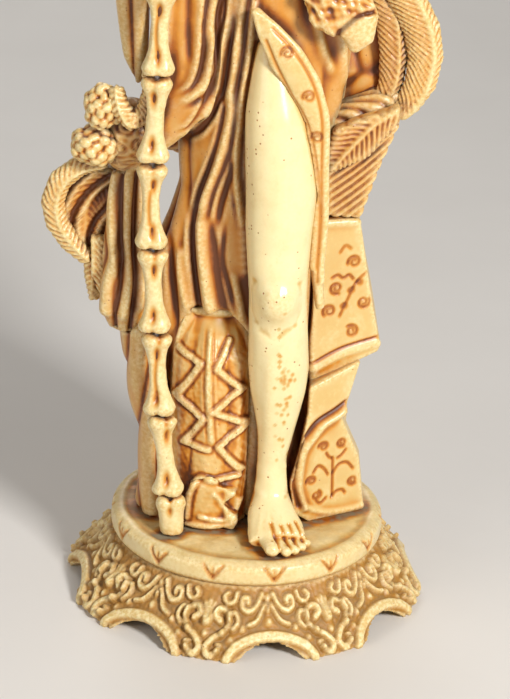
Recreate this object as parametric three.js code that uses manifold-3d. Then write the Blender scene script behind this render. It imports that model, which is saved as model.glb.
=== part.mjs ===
// A cold-cast resin figure of a robed skeleton lady. One bare leg steps out of her gown. She holds a staff
// of threaded bones, and wears a feather boa, a cloak and a wide plumed hat. She stands on a notched disc
// over a flared plinth with eight arches. Every casting is its own solid. Steel dowels and a bent steel rod
// join them. Millimetres. +X is the viewer's right, -Y is the front and +Z is up. The floor is z = 0. The
// castings are drawn in a group whose height 0 is the disc's top face.
import * as THREE from "three";
import { mergeVertices } from "three/addons/utils/BufferGeometryUtils.js";
import Module from "manifold-3d";

const wasm = await Module();
wasm.setup();

// ---------------------------------------------------------------- driving dimensions
const GAP = 0.3; // glue line between two castings

const DISC_R = 35.1;
const DISC_T = 6.3;
const SPIGOT_R = 29; // locating spigot under the disc
const SPIGOT_H = 3;
const SPIGOT_CLEARANCE = 0.4;
const PLINTH_FOOT_R = 46; // radius at the floor
const PLINTH_LIP = 1; // how far the disc stands out over the plinth's top
const PLINTH_H = 15.4; // floor to the disc's underside
const PLINTH_WALL = 3;
const ARCH_COUNT = 8;
const ARCH_WIDTH = 18.6; // opening at the floor
const ARCH_RISE = 4.2;
const ARCH_TURN = 10; // degrees from the front to the first arch

const SHIN = 65; // ground to knee
const THIGH = 65; // knee to hip
const HIP_RISE = 34; // hip to waist
const TORSO = 36; // waist to shoulder
const NECK_RISE = 14; // shoulder to chin
const FACE_RISE = 24; // chin to hat brim
const BELT_H = 5;
const LEG_X = 5.5; // the shin's centre line
const LEG_Y = -13;
const GOWN_Y = 3; // the gown's centre line
const TORSO_Y = 2;

const BRIM_R = 56;
const BRIM_T = 2.4;
const BRIM_HOLE_R = 12;
const BRIM_CURL = 3.4; // how far the edge turns up
const CROWN_R = 15;
const CROWN_H = 22;
const BAND_T = 1.6;
const BAND_H = 5;

const BONE_COUNT = 9;
const LOW_BONE_H = 10; // the lowest bone is cut short by the disc
const BONE_JOINT = 1.5; // space between two bones
const BONE_KNOB_R = 3.8;
const BONE_SHAFT_R = 2;
const STAFF_ROD_R = 0.8; // bent steel rod through the bones
const STAFF_BELOW_SHOULDER = 12.4; // where the top bone ends

const DOWEL_R = 1.5;
const THIN_DOWEL_R = 1;
const DOWEL_DEPTH = 5; // how far a dowel reaches into the disc

// ---------------------------------------------------------------- levels worked out from them
const GROUND = GAP; // castings stand on the disc's top face, a glue line above it
const KNEE_H = SHIN;
const HIP_H = KNEE_H + THIGH;
const WAIST_H = HIP_H + HIP_RISE;
const BODICE_H = WAIST_H + BELT_H;
const SHOULDER_H = WAIST_H + TORSO;
const CHIN_H = SHOULDER_H + NECK_RISE;
const BRIM_H = CHIN_H + FACE_RISE;
const CROWN_SEAT_H = BRIM_H + BRIM_T / 2 + GAP;
const STAFF_TOP_H = SHOULDER_H - STAFF_BELOW_SHOULDER;
const BONE_PITCH = (STAFF_TOP_H - LOW_BONE_H) / (BONE_COUNT - 1);
const DISC_TOP = PLINTH_H + GAP + DISC_T;

// Heights of cloth and feathers are drawn for a 130 mm leg. They stretch with the leg and follow the hip.
const DRAWN_HIP_H = 130;
const lift = (h) => (h < DRAWN_HIP_H ? (h * HIP_H) / DRAWN_HIP_H : h - DRAWN_HIP_H + HIP_H);

// ---------------------------------------------------------------- finishes
const finish = (color, roughness, metalness = 0) =>
  new THREE.MeshStandardMaterial({ color, roughness, metalness });
const IVORY = finish(0xe9dcb0, 0.3);
const AMBER = finish(0xd09445, 0.35);
const OCHRE = finish(0xb07a3e, 0.45);
const STEEL = finish(0x8c8f94, 0.4, 1);

// ---------------------------------------------------------------- shapes
const v3 = (x, y, z) => new THREE.Vector3(x, y, z);
const ALONG_X = v3(1, 0, 0);
const ALONG_Y = v3(0, 1, 0);
const ALONG_Z = v3(0, 0, 1);

// A closed three.js geometry as a solid.
function solid(geometry) {
  const g = geometry.index ? geometry.toNonIndexed() : geometry.clone();
  g.deleteAttribute("normal");
  g.deleteAttribute("uv");
  const merged = mergeVertices(g, 1e-4);
  return new wasm.Manifold(
    new wasm.Mesh({
      numProp: 3,
      vertProperties: new Float32Array(merged.attributes.position.array),
      triVerts: new Uint32Array(merged.index.array),
    }),
  );
}

function geometryOf(body) {
  const mesh = body.getMesh();
  const places = new Float32Array(mesh.numVert * 3);
  for (let i = 0; i < mesh.numVert; i++) {
    const start = i * mesh.numProp;
    places.set(mesh.vertProperties.subarray(start, start + 3), i * 3);
  }
  return new THREE.BufferGeometry()
    .setAttribute("position", new THREE.BufferAttribute(places, 3))
    .setIndex(new THREE.BufferAttribute(new Uint32Array(mesh.triVerts), 1));
}

// A cylinder whose rings, from the last to the first, are moved by place(ring, across, along). The two
// numbers run round the unit circle.
function ringed(rings, segments, place) {
  const g = new THREE.CylinderGeometry(1, 1, 1, segments, rings - 1);
  const p = g.attributes.position;
  for (let i = 0; i < p.count; i++) {
    const ring = Math.round((p.getY(i) + 0.5) * (rings - 1));
    const at = place(ring, p.getX(i), p.getZ(i));
    p.setXYZ(i, at.x, at.y, at.z);
  }
  return solid(g);
}

// Level oval sections, from the bottom up: [height, centre x, centre y, half width, half depth].
const column = (sections, segments) =>
  ringed(sections.length, segments, (ring, across, along) => {
    const [h, x, y, wide, deep] = sections[ring];
    return v3(x + wide * across, y - deep * along, h);
  });

// Oval sections square to a path: [x, y, height, half width, half depth]. The width lies along `side`.
function limb(stations, segments, side = ALONG_X) {
  const points = stations.map(([x, y, h]) => v3(x, y, h));
  const last = points.length - 1;
  return ringed(points.length, segments, (ring, across, along) => {
    const [wide, deep] = stations[ring].slice(3);
    const ahead = points[Math.min(ring + 1, last)].clone().sub(points[Math.max(ring - 1, 0)]).normalize();
    const deepWay = ahead.clone().cross(side).normalize();
    const wideWay = deepWay.clone().cross(ahead);
    const middle = points[ring].clone();
    return middle.addScaledVector(wideWay, wide * across).addScaledVector(deepWay, -deep * along);
  });
}

// The same two for cloth and feathers, whose heights follow the leg.
const drape = (sections, segments) => column(sections.map(([h, ...rest]) => [lift(h), ...rest]), segments);
const plume = (stations, segments = 12, side = ALONG_X) =>
  limb(stations.map(([x, y, h, ...rest]) => [x, y, lift(h), ...rest]), segments, side);

// A hanging sheet cut to an outline of [x, height]. Its depth runs back from `front`, and it leans back by
// `lean` for each millimetre past x = pivot.
function sheet(outline, front, thickness, lean = 0, pivot = 0) {
  const shape = new THREE.Shape(outline.map(([x, h]) => new THREE.Vector2(x, lift(h))));
  const g = new THREE.ExtrudeGeometry(shape, { depth: thickness, bevelEnabled: false, steps: 1 });
  g.rotateX(Math.PI / 2).translate(0, front + thickness, 0);
  const p = g.attributes.position;
  for (let i = 0; i < p.count; i++) p.setY(i, p.getY(i) + lean * (p.getX(i) - pivot));
  return solid(g);
}

function ball(x, y, h, rx, ry, rz, around = 10, up = 7) {
  const g = new THREE.SphereGeometry(1, around, up).rotateX(Math.PI / 2);
  return solid(g.scale(rx, ry, rz).translate(x, y, h));
}

// A round bar from one [x, y, height] to another.
function bar(from, to, r, segments = 8) {
  const leansOver = Math.abs(to[0] - from[0]) > Math.abs(to[2] - from[2]);
  return limb([[...from, r, r], [...to, r, r]], segments, leansOver ? ALONG_Y : ALONG_X);
}

// A body turned about the vertical axis, from [radius, height] points.
function turned(profile, segments = 36) {
  const points = profile.map(([r, h]) => new THREE.Vector2(r, h));
  return solid(new THREE.LatheGeometry(points, segments).rotateX(Math.PI / 2));
}

const join = (...bodies) => bodies.reduce((a, b) => a.add(b));

// The directions of the faces round each vertex.
function facesRound(geometry) {
  const p = geometry.attributes.position;
  const index = geometry.index.array;
  const around = Array.from({ length: p.count }, () => []);
  const [a, b, c] = [v3(), v3(), v3()];
  for (let i = 0; i < index.length; i += 3) {
    a.fromBufferAttribute(p, index[i]);
    b.fromBufferAttribute(p, index[i + 1]);
    c.fromBufferAttribute(p, index[i + 2]);
    const normal = b.clone().sub(a).cross(c.sub(a));
    if (normal.lengthSq() < 1e-12) continue;
    normal.normalize();
    for (let k = 0; k < 3; k++) around[index[i + k]].push(normal);
  }
  return around;
}

// The same body with every face moved out by the given distance. A sharp corner moves further than a face,
// up to a limit.
function swollen(body, by) {
  const SHARPEST = 0.4;
  const g = geometryOf(body);
  const p = g.attributes.position;
  facesRound(g).forEach((normals, i) => {
    const mean = normals.reduce((sum, n) => sum.add(n), v3()).normalize();
    const steepest = Math.min(...normals.map((n) => n.dot(mean)));
    const moved = v3().fromBufferAttribute(p, i).addScaledVector(mean, by / Math.max(steepest, SHARPEST));
    p.setXYZ(i, moved.x, moved.y, moved.z);
  });
  return solid(g);
}

// ---------------------------------------------------------------- assembly
const tools = []; // the swollen shapes of the castings fitted so far, which cut the ones fitted later
const boxesMeet = (a, b) => [0, 1, 2].every((k) => a.min[k] < b.max[k] && b.min[k] < a.max[k]);
const bigger = (a, b) => (b.volume() > a.volume() ? b : a);

// Adds one casting. It gives way, with a glue line, to every casting fitted before it.
function fit(group, name, raw, material) {
  const near = tools.filter((tool) => boxesMeet(raw.boundingBox(), tool.boundingBox()));
  const whole = near.reduce((body, tool) => body.subtract(tool), raw).decompose().reduce(bigger);
  tools.push(swollen(raw, GAP));
  const { min, max } = whole.boundingBox();
  const foot = v3((min[0] + max[0]) / 2, (min[1] + max[1]) / 2, min[2]);
  const mesh = new THREE.Mesh(geometryOf(whole).translate(-foot.x, -foot.y, -foot.z), material);
  mesh.name = name;
  mesh.position.copy(foot);
  group.add(mesh);
}

const figure = new THREE.Group();
const stand = new THREE.Group(); // height 0 is the disc's top face
stand.position.z = DISC_TOP;
figure.add(stand);
const [base, lady, robe, boa, staff, hat] = Array.from({ length: 6 }, () => new THREE.Group());
stand.add(base, lady, robe, boa, staff, hat);

// ---------------------------------------------------------------- steel dowels
function fitDowels() {
  const spine = [0, TORSO_Y];
  const armhole = SHOULDER_H - 2;
  const pin = (name, from, to, r) => fit(lady, name, bar(from, to, r), STEEL);
  pin("foot_dowel", [LEG_X, LEG_Y, -DOWEL_DEPTH], [LEG_X, LEG_Y, SHIN * 0.3], THIN_DOWEL_R);
  pin("gown_dowel", [-8, GOWN_Y, -DOWEL_DEPTH], [-8, GOWN_Y, SHIN * 0.34], DOWEL_R);
  pin("spine_dowel", [...spine, HIP_H + 8], [...spine, BODICE_H + 19], DOWEL_R);
  pin("neck_dowel", [...spine, SHOULDER_H - 6], [...spine, CHIN_H + 12], THIN_DOWEL_R);
  pin("hat_dowel", [...spine, BRIM_H - 4], [...spine, CROWN_SEAT_H + 14], THIN_DOWEL_R);
  pin("right_shoulder_dowel", [-7, 3, armhole], [-19, 4, armhole - 3], THIN_DOWEL_R);
  pin("left_shoulder_dowel", [7, 3, armhole], [19, 4.5, armhole - 3], THIN_DOWEL_R);
}

// ---------------------------------------------------------------- plinth and disc
function fitBase() {
  const profile = [
    [0, -DISC_T - SPIGOT_H],
    [SPIGOT_R, -DISC_T - SPIGOT_H],
    [SPIGOT_R, -DISC_T],
    [DISC_R - 1, -DISC_T],
    [DISC_R, -DISC_T + 1.2],
    [DISC_R - 0.2, -1.4],
    [DISC_R - 1.4, -0.3],
    [DISC_R - 2.8, 0],
    [0, 0],
  ];
  fit(base, "ground_disc", turned(profile, 40), IVORY);
  fit(base, "plinth_skirt", plinth(), OCHRE);
}

function plinth() {
  const floor = -DISC_TOP;
  const bore = SPIGOT_R + SPIGOT_CLEARANCE;
  const topR = DISC_R - PLINTH_LIP;
  const outer = (drop, spread) => [topR + (PLINTH_FOOT_R - topR) * spread, floor + PLINTH_H * (1 - drop)];
  const seat = floor + PLINTH_H - SPIGOT_H - 1;
  const skirt = turned([
    [bore, seat],
    [PLINTH_FOOT_R - PLINTH_WALL - 5, floor + PLINTH_H * 0.4],
    [PLINTH_FOOT_R - PLINTH_WALL, floor],
    [PLINTH_FOOT_R, floor],
    outer(0.92, 1),
    outer(0.66, 0.68),
    outer(0.32, 0.26),
    outer(0, 0),
    [bore, floor + PLINTH_H],
    [bore, seat],
  ]);
  const archR = (ARCH_WIDTH ** 2 / 4 + ARCH_RISE ** 2) / (2 * ARCH_RISE);
  const arches = Array.from({ length: ARCH_COUNT }, (_, i) => {
    const turn = THREE.MathUtils.degToRad(ARCH_TURN + (i * 360) / ARCH_COUNT);
    const barrel = new THREE.CylinderGeometry(archR, archR, PLINTH_FOOT_R, 24);
    barrel.translate(0, -PLINTH_FOOT_R, floor + ARCH_RISE - archR);
    return solid(barrel.rotateZ(turn));
  });
  return arches.reduce((body, arch) => body.subtract(arch), skirt);
}

// ---------------------------------------------------------------- staff
const staffLine = new THREE.CatmullRomCurve3(
  [
    [-18.6, -19.6, -DOWEL_DEPTH],
    [-19.4, -19.5, 8],
    [-22.6, -19, 32],
    [-25.2, -18, 62],
    [-26.9, -17.4, 90],
    [-26.2, -17.2, 120],
    [-25.8, -17.6, 150],
    [-25.5, -18, 170],
  ].map(([x, y, h]) => v3(x, y, h < 0 ? h : lift(h))),
);

// The point of the staff's line at a height. Above its last bend the staff is straight.
function staffAt(height) {
  const end = staffLine.getPoint(1);
  if (height > end.z) return end.setZ(height);
  let [low, high] = [0, 1];
  for (let i = 0; i < 30; i++) {
    const middle = (low + high) / 2;
    if (staffLine.getPoint(middle).z < height) low = middle;
    else high = middle;
  }
  return staffLine.getPoint(low);
}

// Sections of [height, half width, half depth] along the staff.
const onStaff = (sections, segments) =>
  limb(sections.map(([h, wide, deep]) => [...staffAt(h).toArray(), wide, deep]), segments);

function bone(low, top) {
  const knob = BONE_KNOB_R;
  const at = (share, wide) => [low + (top - low) * share, wide, wide * 0.82];
  const sections = [
    at(0, knob * 0.72),
    at(0.06, knob),
    at(0.18, knob * 0.8),
    at(0.34, BONE_SHAFT_R * 1.1),
    at(0.6, BONE_SHAFT_R),
    at(0.78, BONE_SHAFT_R * 1.25),
    at(0.9, knob * 0.84),
    at(0.96, knob * 0.92),
    at(1, knob * 0.66),
  ];
  return onStaff(sections, 8);
}

function fitStaff() {
  const rodTop = STAFF_TOP_H + 8;
  const rodSteps = 14;
  const rod = Array.from({ length: rodSteps + 1 }, (_, i) => {
    const h = -DOWEL_DEPTH + ((rodTop + DOWEL_DEPTH) * i) / rodSteps;
    return [h, STAFF_ROD_R, STAFF_ROD_R];
  });
  fit(staff, "staff_rod", onStaff(rod, 6), STEEL);

  const stub = [[GROUND, 2.9, 2.5], [5.8, 3.1, 2.7], [LOW_BONE_H - 1.4, 3.7, 3.1], [LOW_BONE_H, 2.8, 2.3]];
  fit(staff, "staff_bone_1", onStaff(stub, 8), IVORY);
  for (let i = 1; i < BONE_COUNT; i++) {
    const top = LOW_BONE_H + BONE_PITCH * i;
    fit(staff, `staff_bone_${i + 1}`, bone(top - BONE_PITCH + BONE_JOINT, top), IVORY);
  }

  const jaw = STAFF_TOP_H + BONE_JOINT;
  const { x, y } = staffAt(jaw);
  const face = [[jaw, x, y - 1.4, 2.6, 3], [jaw + 4, x, y - 1.6, 3.6, 4], [jaw + 8, x, y - 1, 4.4, 4.6]];
  fit(staff, "staff_finial", join(ball(x, y, jaw + 9, 5.4, 6, 5.4, 12, 8), column(face, 8)), IVORY);
}

// ---------------------------------------------------------------- bare leg
function fitLeg() {
  const shin = (share) => KNEE_H * share;
  const thigh = (share) => KNEE_H + THIGH * share;
  const x = LEG_X;
  const y = LEG_Y;
  const calf = column(
    [
      [shin(0.1), x + 0.4, y - 0.6, 5, 5.6],
      [shin(0.19), x + 0.4, y, 4.1, 4.9],
      [shin(0.28), x + 0.2, y + 0.5, 3.7, 4.3],
      [shin(0.41), x + 0.9, y + 0.8, 4.6, 5.2],
      [shin(0.51), x + 1, y + 0.5, 5.9, 6.3],
      [shin(0.6), x + 0.9, y, 7.1, 6.9],
      [shin(0.7), x + 0.8, y - 0.6, 7.7, 7.3],
      [shin(0.82), x + 0.4, y - 1.6, 7.5, 7],
      [KNEE_H, x - 0.2, y - 2.4, 7.2, 7.4],
      [thigh(0.14), x - 0.6, y - 2, 7.7, 7.7],
      [thigh(0.28), x - 0.8, y - 1.5, 8.3, 8.2],
      [thigh(0.42), x - 0.6, y - 1, 8.8, 8.5],
      [thigh(0.56), x - 1.5, y, 8.5, 8.4],
      [thigh(0.72), x - 2.4, y + 1.2, 8, 8],
      [thigh(0.88), x - 3.6, y + 2.9, 5.6, 6.4],
      [thigh(1), x - 5.6, y + 4.2, 2.4, 4],
    ],
    16,
  );
  const kneecap = ball(x - 0.2, y - 8.2, KNEE_H + 1, 4.6, 2.6, 5.4);
  fit(lady, "standing_leg", join(calf, kneecap, foot()), IVORY);
}

function foot() {
  const x = LEG_X;
  const y = LEG_Y;
  const instep = limb(
    [
      [x + 0.4, y + 1.5, 8, 4.6, 5],
      [x + 0.8, y - 4, 6.2, 6, 4.8],
      [x + 2, y - 9, 3.9, 7.2, 3.6],
      [x + 2.8, y - 13, 2.7, 7.4, 2.4],
    ],
    12,
  );
  const heel = ball(x + 0.2, y + 3, 5.2, 4.6, 5, 4.9);
  // Each toe's root, tip and radius, from the big toe outwards.
  const toes = [
    [-1, -11, 1.4, -17.2, 2.1],
    [2.2, -12, 5, -16.9, 1.5],
    [4.4, -11.6, 7.1, -15.6, 1.4],
    [6.4, -10.4, 8.8, -13.8, 1.3],
    [7.8, -8.6, 10, -11.5, 1.2],
  ].map(([rootX, rootY, tipX, tipY, r]) => {
    const root = [x + rootX, y + rootY, r + GROUND + 0.6, r, r];
    const tip = [x + tipX, y + tipY, r + GROUND, r * 0.9, r * 0.9];
    return join(limb([root, tip], 8), ball(...tip.slice(0, 3), r, r, r * 0.9, 8, 5));
  });
  return join(instep, heel, ...toes);
}

// ---------------------------------------------------------------- hands, head and neck
const GRIP_H = STAFF_TOP_H - BONE_PITCH * 0.45;
const LEFT_WRIST = [18.6, -9.4, WAIST_H - 5];

function fitHands() {
  const { x, y } = staffAt(GRIP_H);
  const finger = (rise) => {
    const curl = [[1, 4.2], [4.2, 1.2], [3.9, -2.4], [0.2, -4.2], [-3.6, -2.4], [-3.2, 1.6]];
    return limb(curl.map(([dx, dy]) => [x + dx, y + dy, GRIP_H + rise, 1.15, 1.15]), 6, ALONG_Z);
  };
  const palm = ball(x - 0.6, y + 3.6, GRIP_H, 4.6, 3.8, 5);
  fit(lady, "right_hand", join(palm, ...[-3.4, -1.1, 1.2, 3.4].map(finger)), IVORY);

  const [wristX, wristY, wristH] = LEFT_WRIST;
  const spread = [[-5.6, -3.6, 2.6], [-6, -4.2, 0], [-5.4, -4, -2.6], [-4.2, -3.2, -4.8]];
  const fingers = spread.map(([dx, dy, dh]) => {
    const middle = [wristX + dx * 0.6, wristY + dy * 0.8, wristH + dh * 0.7, 1.35, 1.35];
    const tip = [wristX + dx * 1.15, wristY + dy, wristH + dh * 1.3, 1, 1];
    return limb([[...LEFT_WRIST, 1.5, 1.5], middle, tip], 6, ALONG_Z);
  });
  fit(lady, "left_hand", join(ball(...LEFT_WRIST, 3.6, 2.8, 4), ...fingers), IVORY);
}

function fitHead() {
  const faceUp = (share) => CHIN_H + FACE_RISE * share;
  const face = column(
    [
      [CHIN_H, 0, -6.6, 4.6, 4],
      [faceUp(0.14), 0, -6.2, 6.4, 5.6],
      [faceUp(0.3), 0, -5.2, 7.4, 7.2],
      [faceUp(0.46), 0, -3.4, 9.4, 9.4],
      [faceUp(0.7), 0, -1, 10, 11],
    ],
    12,
  );
  const cranium = ball(0, 0.5, faceUp(0.75), 10.8, 13, 11.4, 14, 9);
  fit(lady, "skull", join(cranium, face), IVORY);
  const neck = column(
    [
      [SHOULDER_H + 5, 0, TORSO_Y, 4.6, 4.4],
      [SHOULDER_H + NECK_RISE * 0.7, 0, TORSO_Y, 3.6, 3.5],
      [CHIN_H + 6, 0, TORSO_Y + 0.6, 3.5, 3.5],
    ],
    12,
  );
  fit(lady, "neck", neck, IVORY);
}

// ---------------------------------------------------------------- robe, front and right side
function fitRobeFront() {
  const lapel = plume([
    [15.9, -12.6, 61.5, 1.1, 1.2],
    [14.4, -13.6, 73, 1.5, 1.6],
    [14.6, -13.6, 86, 1.7, 1.8],
    [13.8, -14, 99, 2.1, 2],
    [12.2, -15.2, 112, 3.2, 2.4],
    [8.6, -15.6, 120.5, 4.2, 2.6],
    [4.4, -15.4, 127.6, 3.9, 2.6],
    [0.2, -14.8, 133.4, 2.5, 2.2],
    [-3.6, -13.6, 138.6, 0.8, 1.2],
  ]);
  fit(robe, "front_lapel", lapel, AMBER);

  const sash = plume([
    [20.4, -14.4, 129.4, 0.9, 1],
    [21.2, -14.6, 132.6, 3.9, 2],
    [21, -14.2, 136, 5.8, 2.4],
    [17, -13.8, 139.6, 8.2, 2.6],
    [13, -13.4, 144.4, 6.8, 2.4],
    [9, -13, 149.4, 3.4, 2],
  ]);
  fit(robe, "sash_tail", sash, IVORY);

  const apron = drape(
    [
      [GROUND, -10.2, -8, 9.4, 7.4],
      [12, -10.4, -8.2, 9.6, 7.4],
      [32, -10.6, -8.4, 9.5, 6.6],
      [46, -10.6, -8.2, 9.4, 5.6],
      [52, -10.4, -7.6, 8.8, 4.4],
      [57.4, -10.4, -6.6, 7, 2.4],
    ],
    14,
  );
  const jug = [[-15.6, GROUND], [-3.4, GROUND], [-2.6, 3], [-6.2, 7], [-3.2, 10.5], [-10, 14], [-15.4, 12]];
  fit(robe, "apron_panel", join(apron, sheet(jug, -16.6, 4)), AMBER);

  const upperFold = [[14.5, 82], [24.5, 81.6], [28.6, 62], [32, 46.5], [31.5, 44.8], [15, 38], [14, 50]];
  fit(robe, "cloak_upper_fold", sheet(upperFold, -6, 5, 0.35, 14), AMBER);
  const lowerFold = [
    [14.5, 38.6],
    [27, 43.2],
    [23.2, 28],
    [28.2, 16],
    [30.3, GROUND],
    [16, GROUND],
    [12.2, 3.6],
    [10.8, 12],
    [12.9, 21],
    [14.4, 31],
  ];
  fit(robe, "cloak_lower_fold", sheet(lowerFold, -9, 5, 0.6, 18), AMBER);
}

// ---------------------------------------------------------------- feather boa
function fitRightFeathers() {
  const outer = plume([
    [32.6, 2, 108.4, 1.6, 1.4],
    [35.2, 2, 111.6, 2.8, 2],
    [37.8, 1.5, 117, 3.6, 2.2],
    [38.6, 1, 124, 4, 2.3],
    [37.2, 0.5, 131, 4.2, 2.3],
    [33.8, 0, 137.5, 4.1, 2.3],
    [29, -1, 144.5, 3.6, 2.2],
    [24, -2, 152, 2.4, 2],
  ]);
  fit(boa, "right_plume_outer", outer, IVORY);
  const inner = plume([
    [28.6, 3, 111, 1.6, 1.4],
    [30.6, 3, 116.5, 2.7, 1.9],
    [31, 2.6, 124, 3.3, 2],
    [29.6, 2, 133, 3.4, 2],
    [26, 1.5, 142, 3.2, 2],
    [20.5, 0.5, 150, 2.4, 2],
  ]);
  fit(boa, "right_plume_inner", inner, AMBER);
  const leaf = [[32.4, 112], [23.3, 109.4], [17.3, 106.4], [15.6, 100], [16.8, 96], [25.4, 100], [32.6, 109]];
  fit(boa, "right_leaf_plume", sheet(leaf, -8, 3.8, 0.12, 16), AMBER);
  const tail = [[15.6, 97], [16.8, 83], [24.6, 82.4], [28.5, 95.6], [32.8, 107], [28.4, 107], [20, 101]];
  fit(boa, "right_tail_plume", sheet(tail, -3.8, 4.6, 0.12, 16), AMBER);
}

function fitLeftFeathers() {
  const curl = plume(
    [
      [-43, -2.2, 67.8, 1.6, 1.6],
      [-47.4, -2.4, 72, 2, 2.2],
      [-50.8, -2.6, 77.2, 2.2, 2.5],
      [-52, -2.6, 83, 2.3, 2.6],
      [-50.2, -2.6, 88.6, 2.3, 2.5],
      [-45.4, -2.4, 92.6, 2.2, 2.2],
      [-39.4, -2, 94, 2, 1.8],
    ],
    10,
    ALONG_Y,
  );
  fit(boa, "left_plume_curl", curl, IVORY);
  const tips = join(
    plume([[-38.2, -3.2, 59.4, 1.4, 1.2], [-39.4, -3.4, 66, 2.4, 2], [-39.8, -3, 74, 2, 1.8]], 8),
    plume([[-40.9, -1.8, 56.8, 1.2, 1.1], [-41.8, -1.8, 63, 1.7, 1.5], [-42.2, -1.6, 70, 1.6, 1.5]], 8),
  );
  fit(boa, "left_plume_tips", tips, IVORY);
  fit(boa, "upper_marigold", ball(-39.4, -9, lift(110.6), 4.3, 4.4, 5.3, 12, 9), IVORY);
  fit(boa, "lower_marigold", ball(-41.6, -7.4, lift(99.8), 5.6, 4.5, 4.9, 12, 9), IVORY);
  const scaled = plume(
    [
      [-36.4, -11, 116, 1.7, 1.7],
      [-35.4, -12, 111.8, 2, 2.2],
      [-32.4, -12.4, 108.6, 2.2, 2.5],
      [-29, -12, 110.4, 2.2, 2.5],
      [-27.6, -10.6, 115.4, 2, 2.2],
      [-28.6, -8.6, 120.6, 1.5, 1.5],
    ],
    8,
    ALONG_Y,
  );
  fit(boa, "scaled_curl", scaled, IVORY);
  const fan = [
    [-49.4, 79],
    [-49, 86],
    [-45.4, 90],
    [-38, 91.6],
    [-35, 88],
    [-35.6, 78],
    [-38, 71.6],
    [-42.4, 70],
    [-46.6, 73.6],
  ];
  fit(boa, "left_plume_fan", sheet(fan, -1.4, 3.6), AMBER);
  fit(boa, "boa_knot", ball(-33.2, -3.6, lift(101.4), 7, 6, 9.6), AMBER);
}

// The boa hangs behind the cloak in one swag from hip to hip.
function fitBoaBack() {
  const swag = plume(
    [
      [-34, 6, 103, 3.4, 3.4],
      [-28, 20, 96, 4.4, 4.6],
      [-14, 26, 90, 4.6, 4.8],
      [2, 27.6, 88, 4.6, 4.8],
      [18, 25.4, 92, 4.6, 4.8],
      [28, 17, 102, 4.2, 4.4],
      [31, 7.6, 110, 3, 3.2],
    ],
    10,
    ALONG_Z,
  );
  const hipFeathers = plume(
    [
      [24, 6, 104, 7, 2.4],
      [24, 7.6, 116, 8.6, 2.6],
      [23.6, 8.2, 130, 8.8, 2.6],
      [22.4, 8.2, 142, 7.4, 2.4],
      [19, 7.6, 151, 4.6, 2],
    ],
    12,
  );
  const ledge = plume(
    [
      [13.4, 1.4, 104, 2.6, 3.2],
      [20.6, 1.6, 107.4, 3.8, 4],
      [28.6, 2.8, 111, 3.2, 4],
      [32.6, 4, 113, 1.6, 2],
    ],
    10,
    ALONG_Z,
  );
  fit(boa, "boa_back", join(swag, hipFeathers, ledge), AMBER);
}

// ---------------------------------------------------------------- robe, left side and sleeves
function fitLeftDrapes() {
  const side = [
    [50.8, -32.6, -4, 4.4, 4.6],
    [56, -33.6, -4.4, 5.8, 5.8],
    [63, -33.8, -4.2, 5.6, 5.6],
    [74, -33.4, -4, 5.4, 5],
    [88, -32.2, -4, 4.5, 4.5],
    [97, -31.6, -4, 3.8, 3.8],
  ];
  fit(robe, "side_drape", drape(side, 12), AMBER);
  const under = [
    [GROUND, -24, -3, 5, 8],
    [10, -24.2, -3, 4.8, 8],
    [22, -24.6, -3, 4.6, 8],
    [31, -26, -3, 5, 8],
    [43, -28, -3, 5.4, 7.6],
    [52, -29, -3, 5.2, 6.6],
  ];
  fit(robe, "under_drape", drape(under, 12), AMBER);
}

function fitSleeves() {
  const tail = limb(
    [
      [-31.8, -2, SHOULDER_H - 85.2, 0.6, 0.6],
      [-32.2, -2.2, SHOULDER_H - 78, 2.6, 2.2],
      [-32.8, -2.6, SHOULDER_H - 64, 4.4, 3.6],
      [-32.2, -4, SHOULDER_H - 46, 5.6, 4.6],
      [-30.4, -5.4, SHOULDER_H - 32, 5.8, 4.8],
    ],
    10,
  );
  fit(robe, "sleeve_tail", tail, AMBER);
  const rightArm = limb(
    [
      [-11, 3, SHOULDER_H - 1, 5, 5],
      [-18, 4.4, SHOULDER_H - 4.4, 6.4, 6.2],
      [-25, 4.8, SHOULDER_H - 13, 6.4, 6.2],
      [-28.6, 2.4, SHOULDER_H - 22, 6, 6],
      [-28.4, -4.4, SHOULDER_H - 25.4, 6, 5.8],
      [-27.4, -10.4, GRIP_H - 2, 6.2, 6],
    ],
    12,
    v3(1, 0.4, 0.6),
  );
  fit(robe, "right_sleeve", rightArm, AMBER);
  const leftArm = limb(
    [
      [11, 3, SHOULDER_H - 1, 5, 5],
      [18, 4.6, SHOULDER_H - 4.4, 6.4, 6.2],
      [26, 6, SHOULDER_H - 14, 6.4, 6.2],
      [29.4, 4.4, SHOULDER_H - 25.4, 5.8, 5.8],
      [26.6, -1.4, WAIST_H + 1, 5.4, 5.4],
      [22, -5.8, WAIST_H - 3, 5, 5],
    ],
    12,
    v3(1, -0.4, -0.6),
  );
  fit(robe, "left_sleeve", leftArm, AMBER);
}

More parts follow.
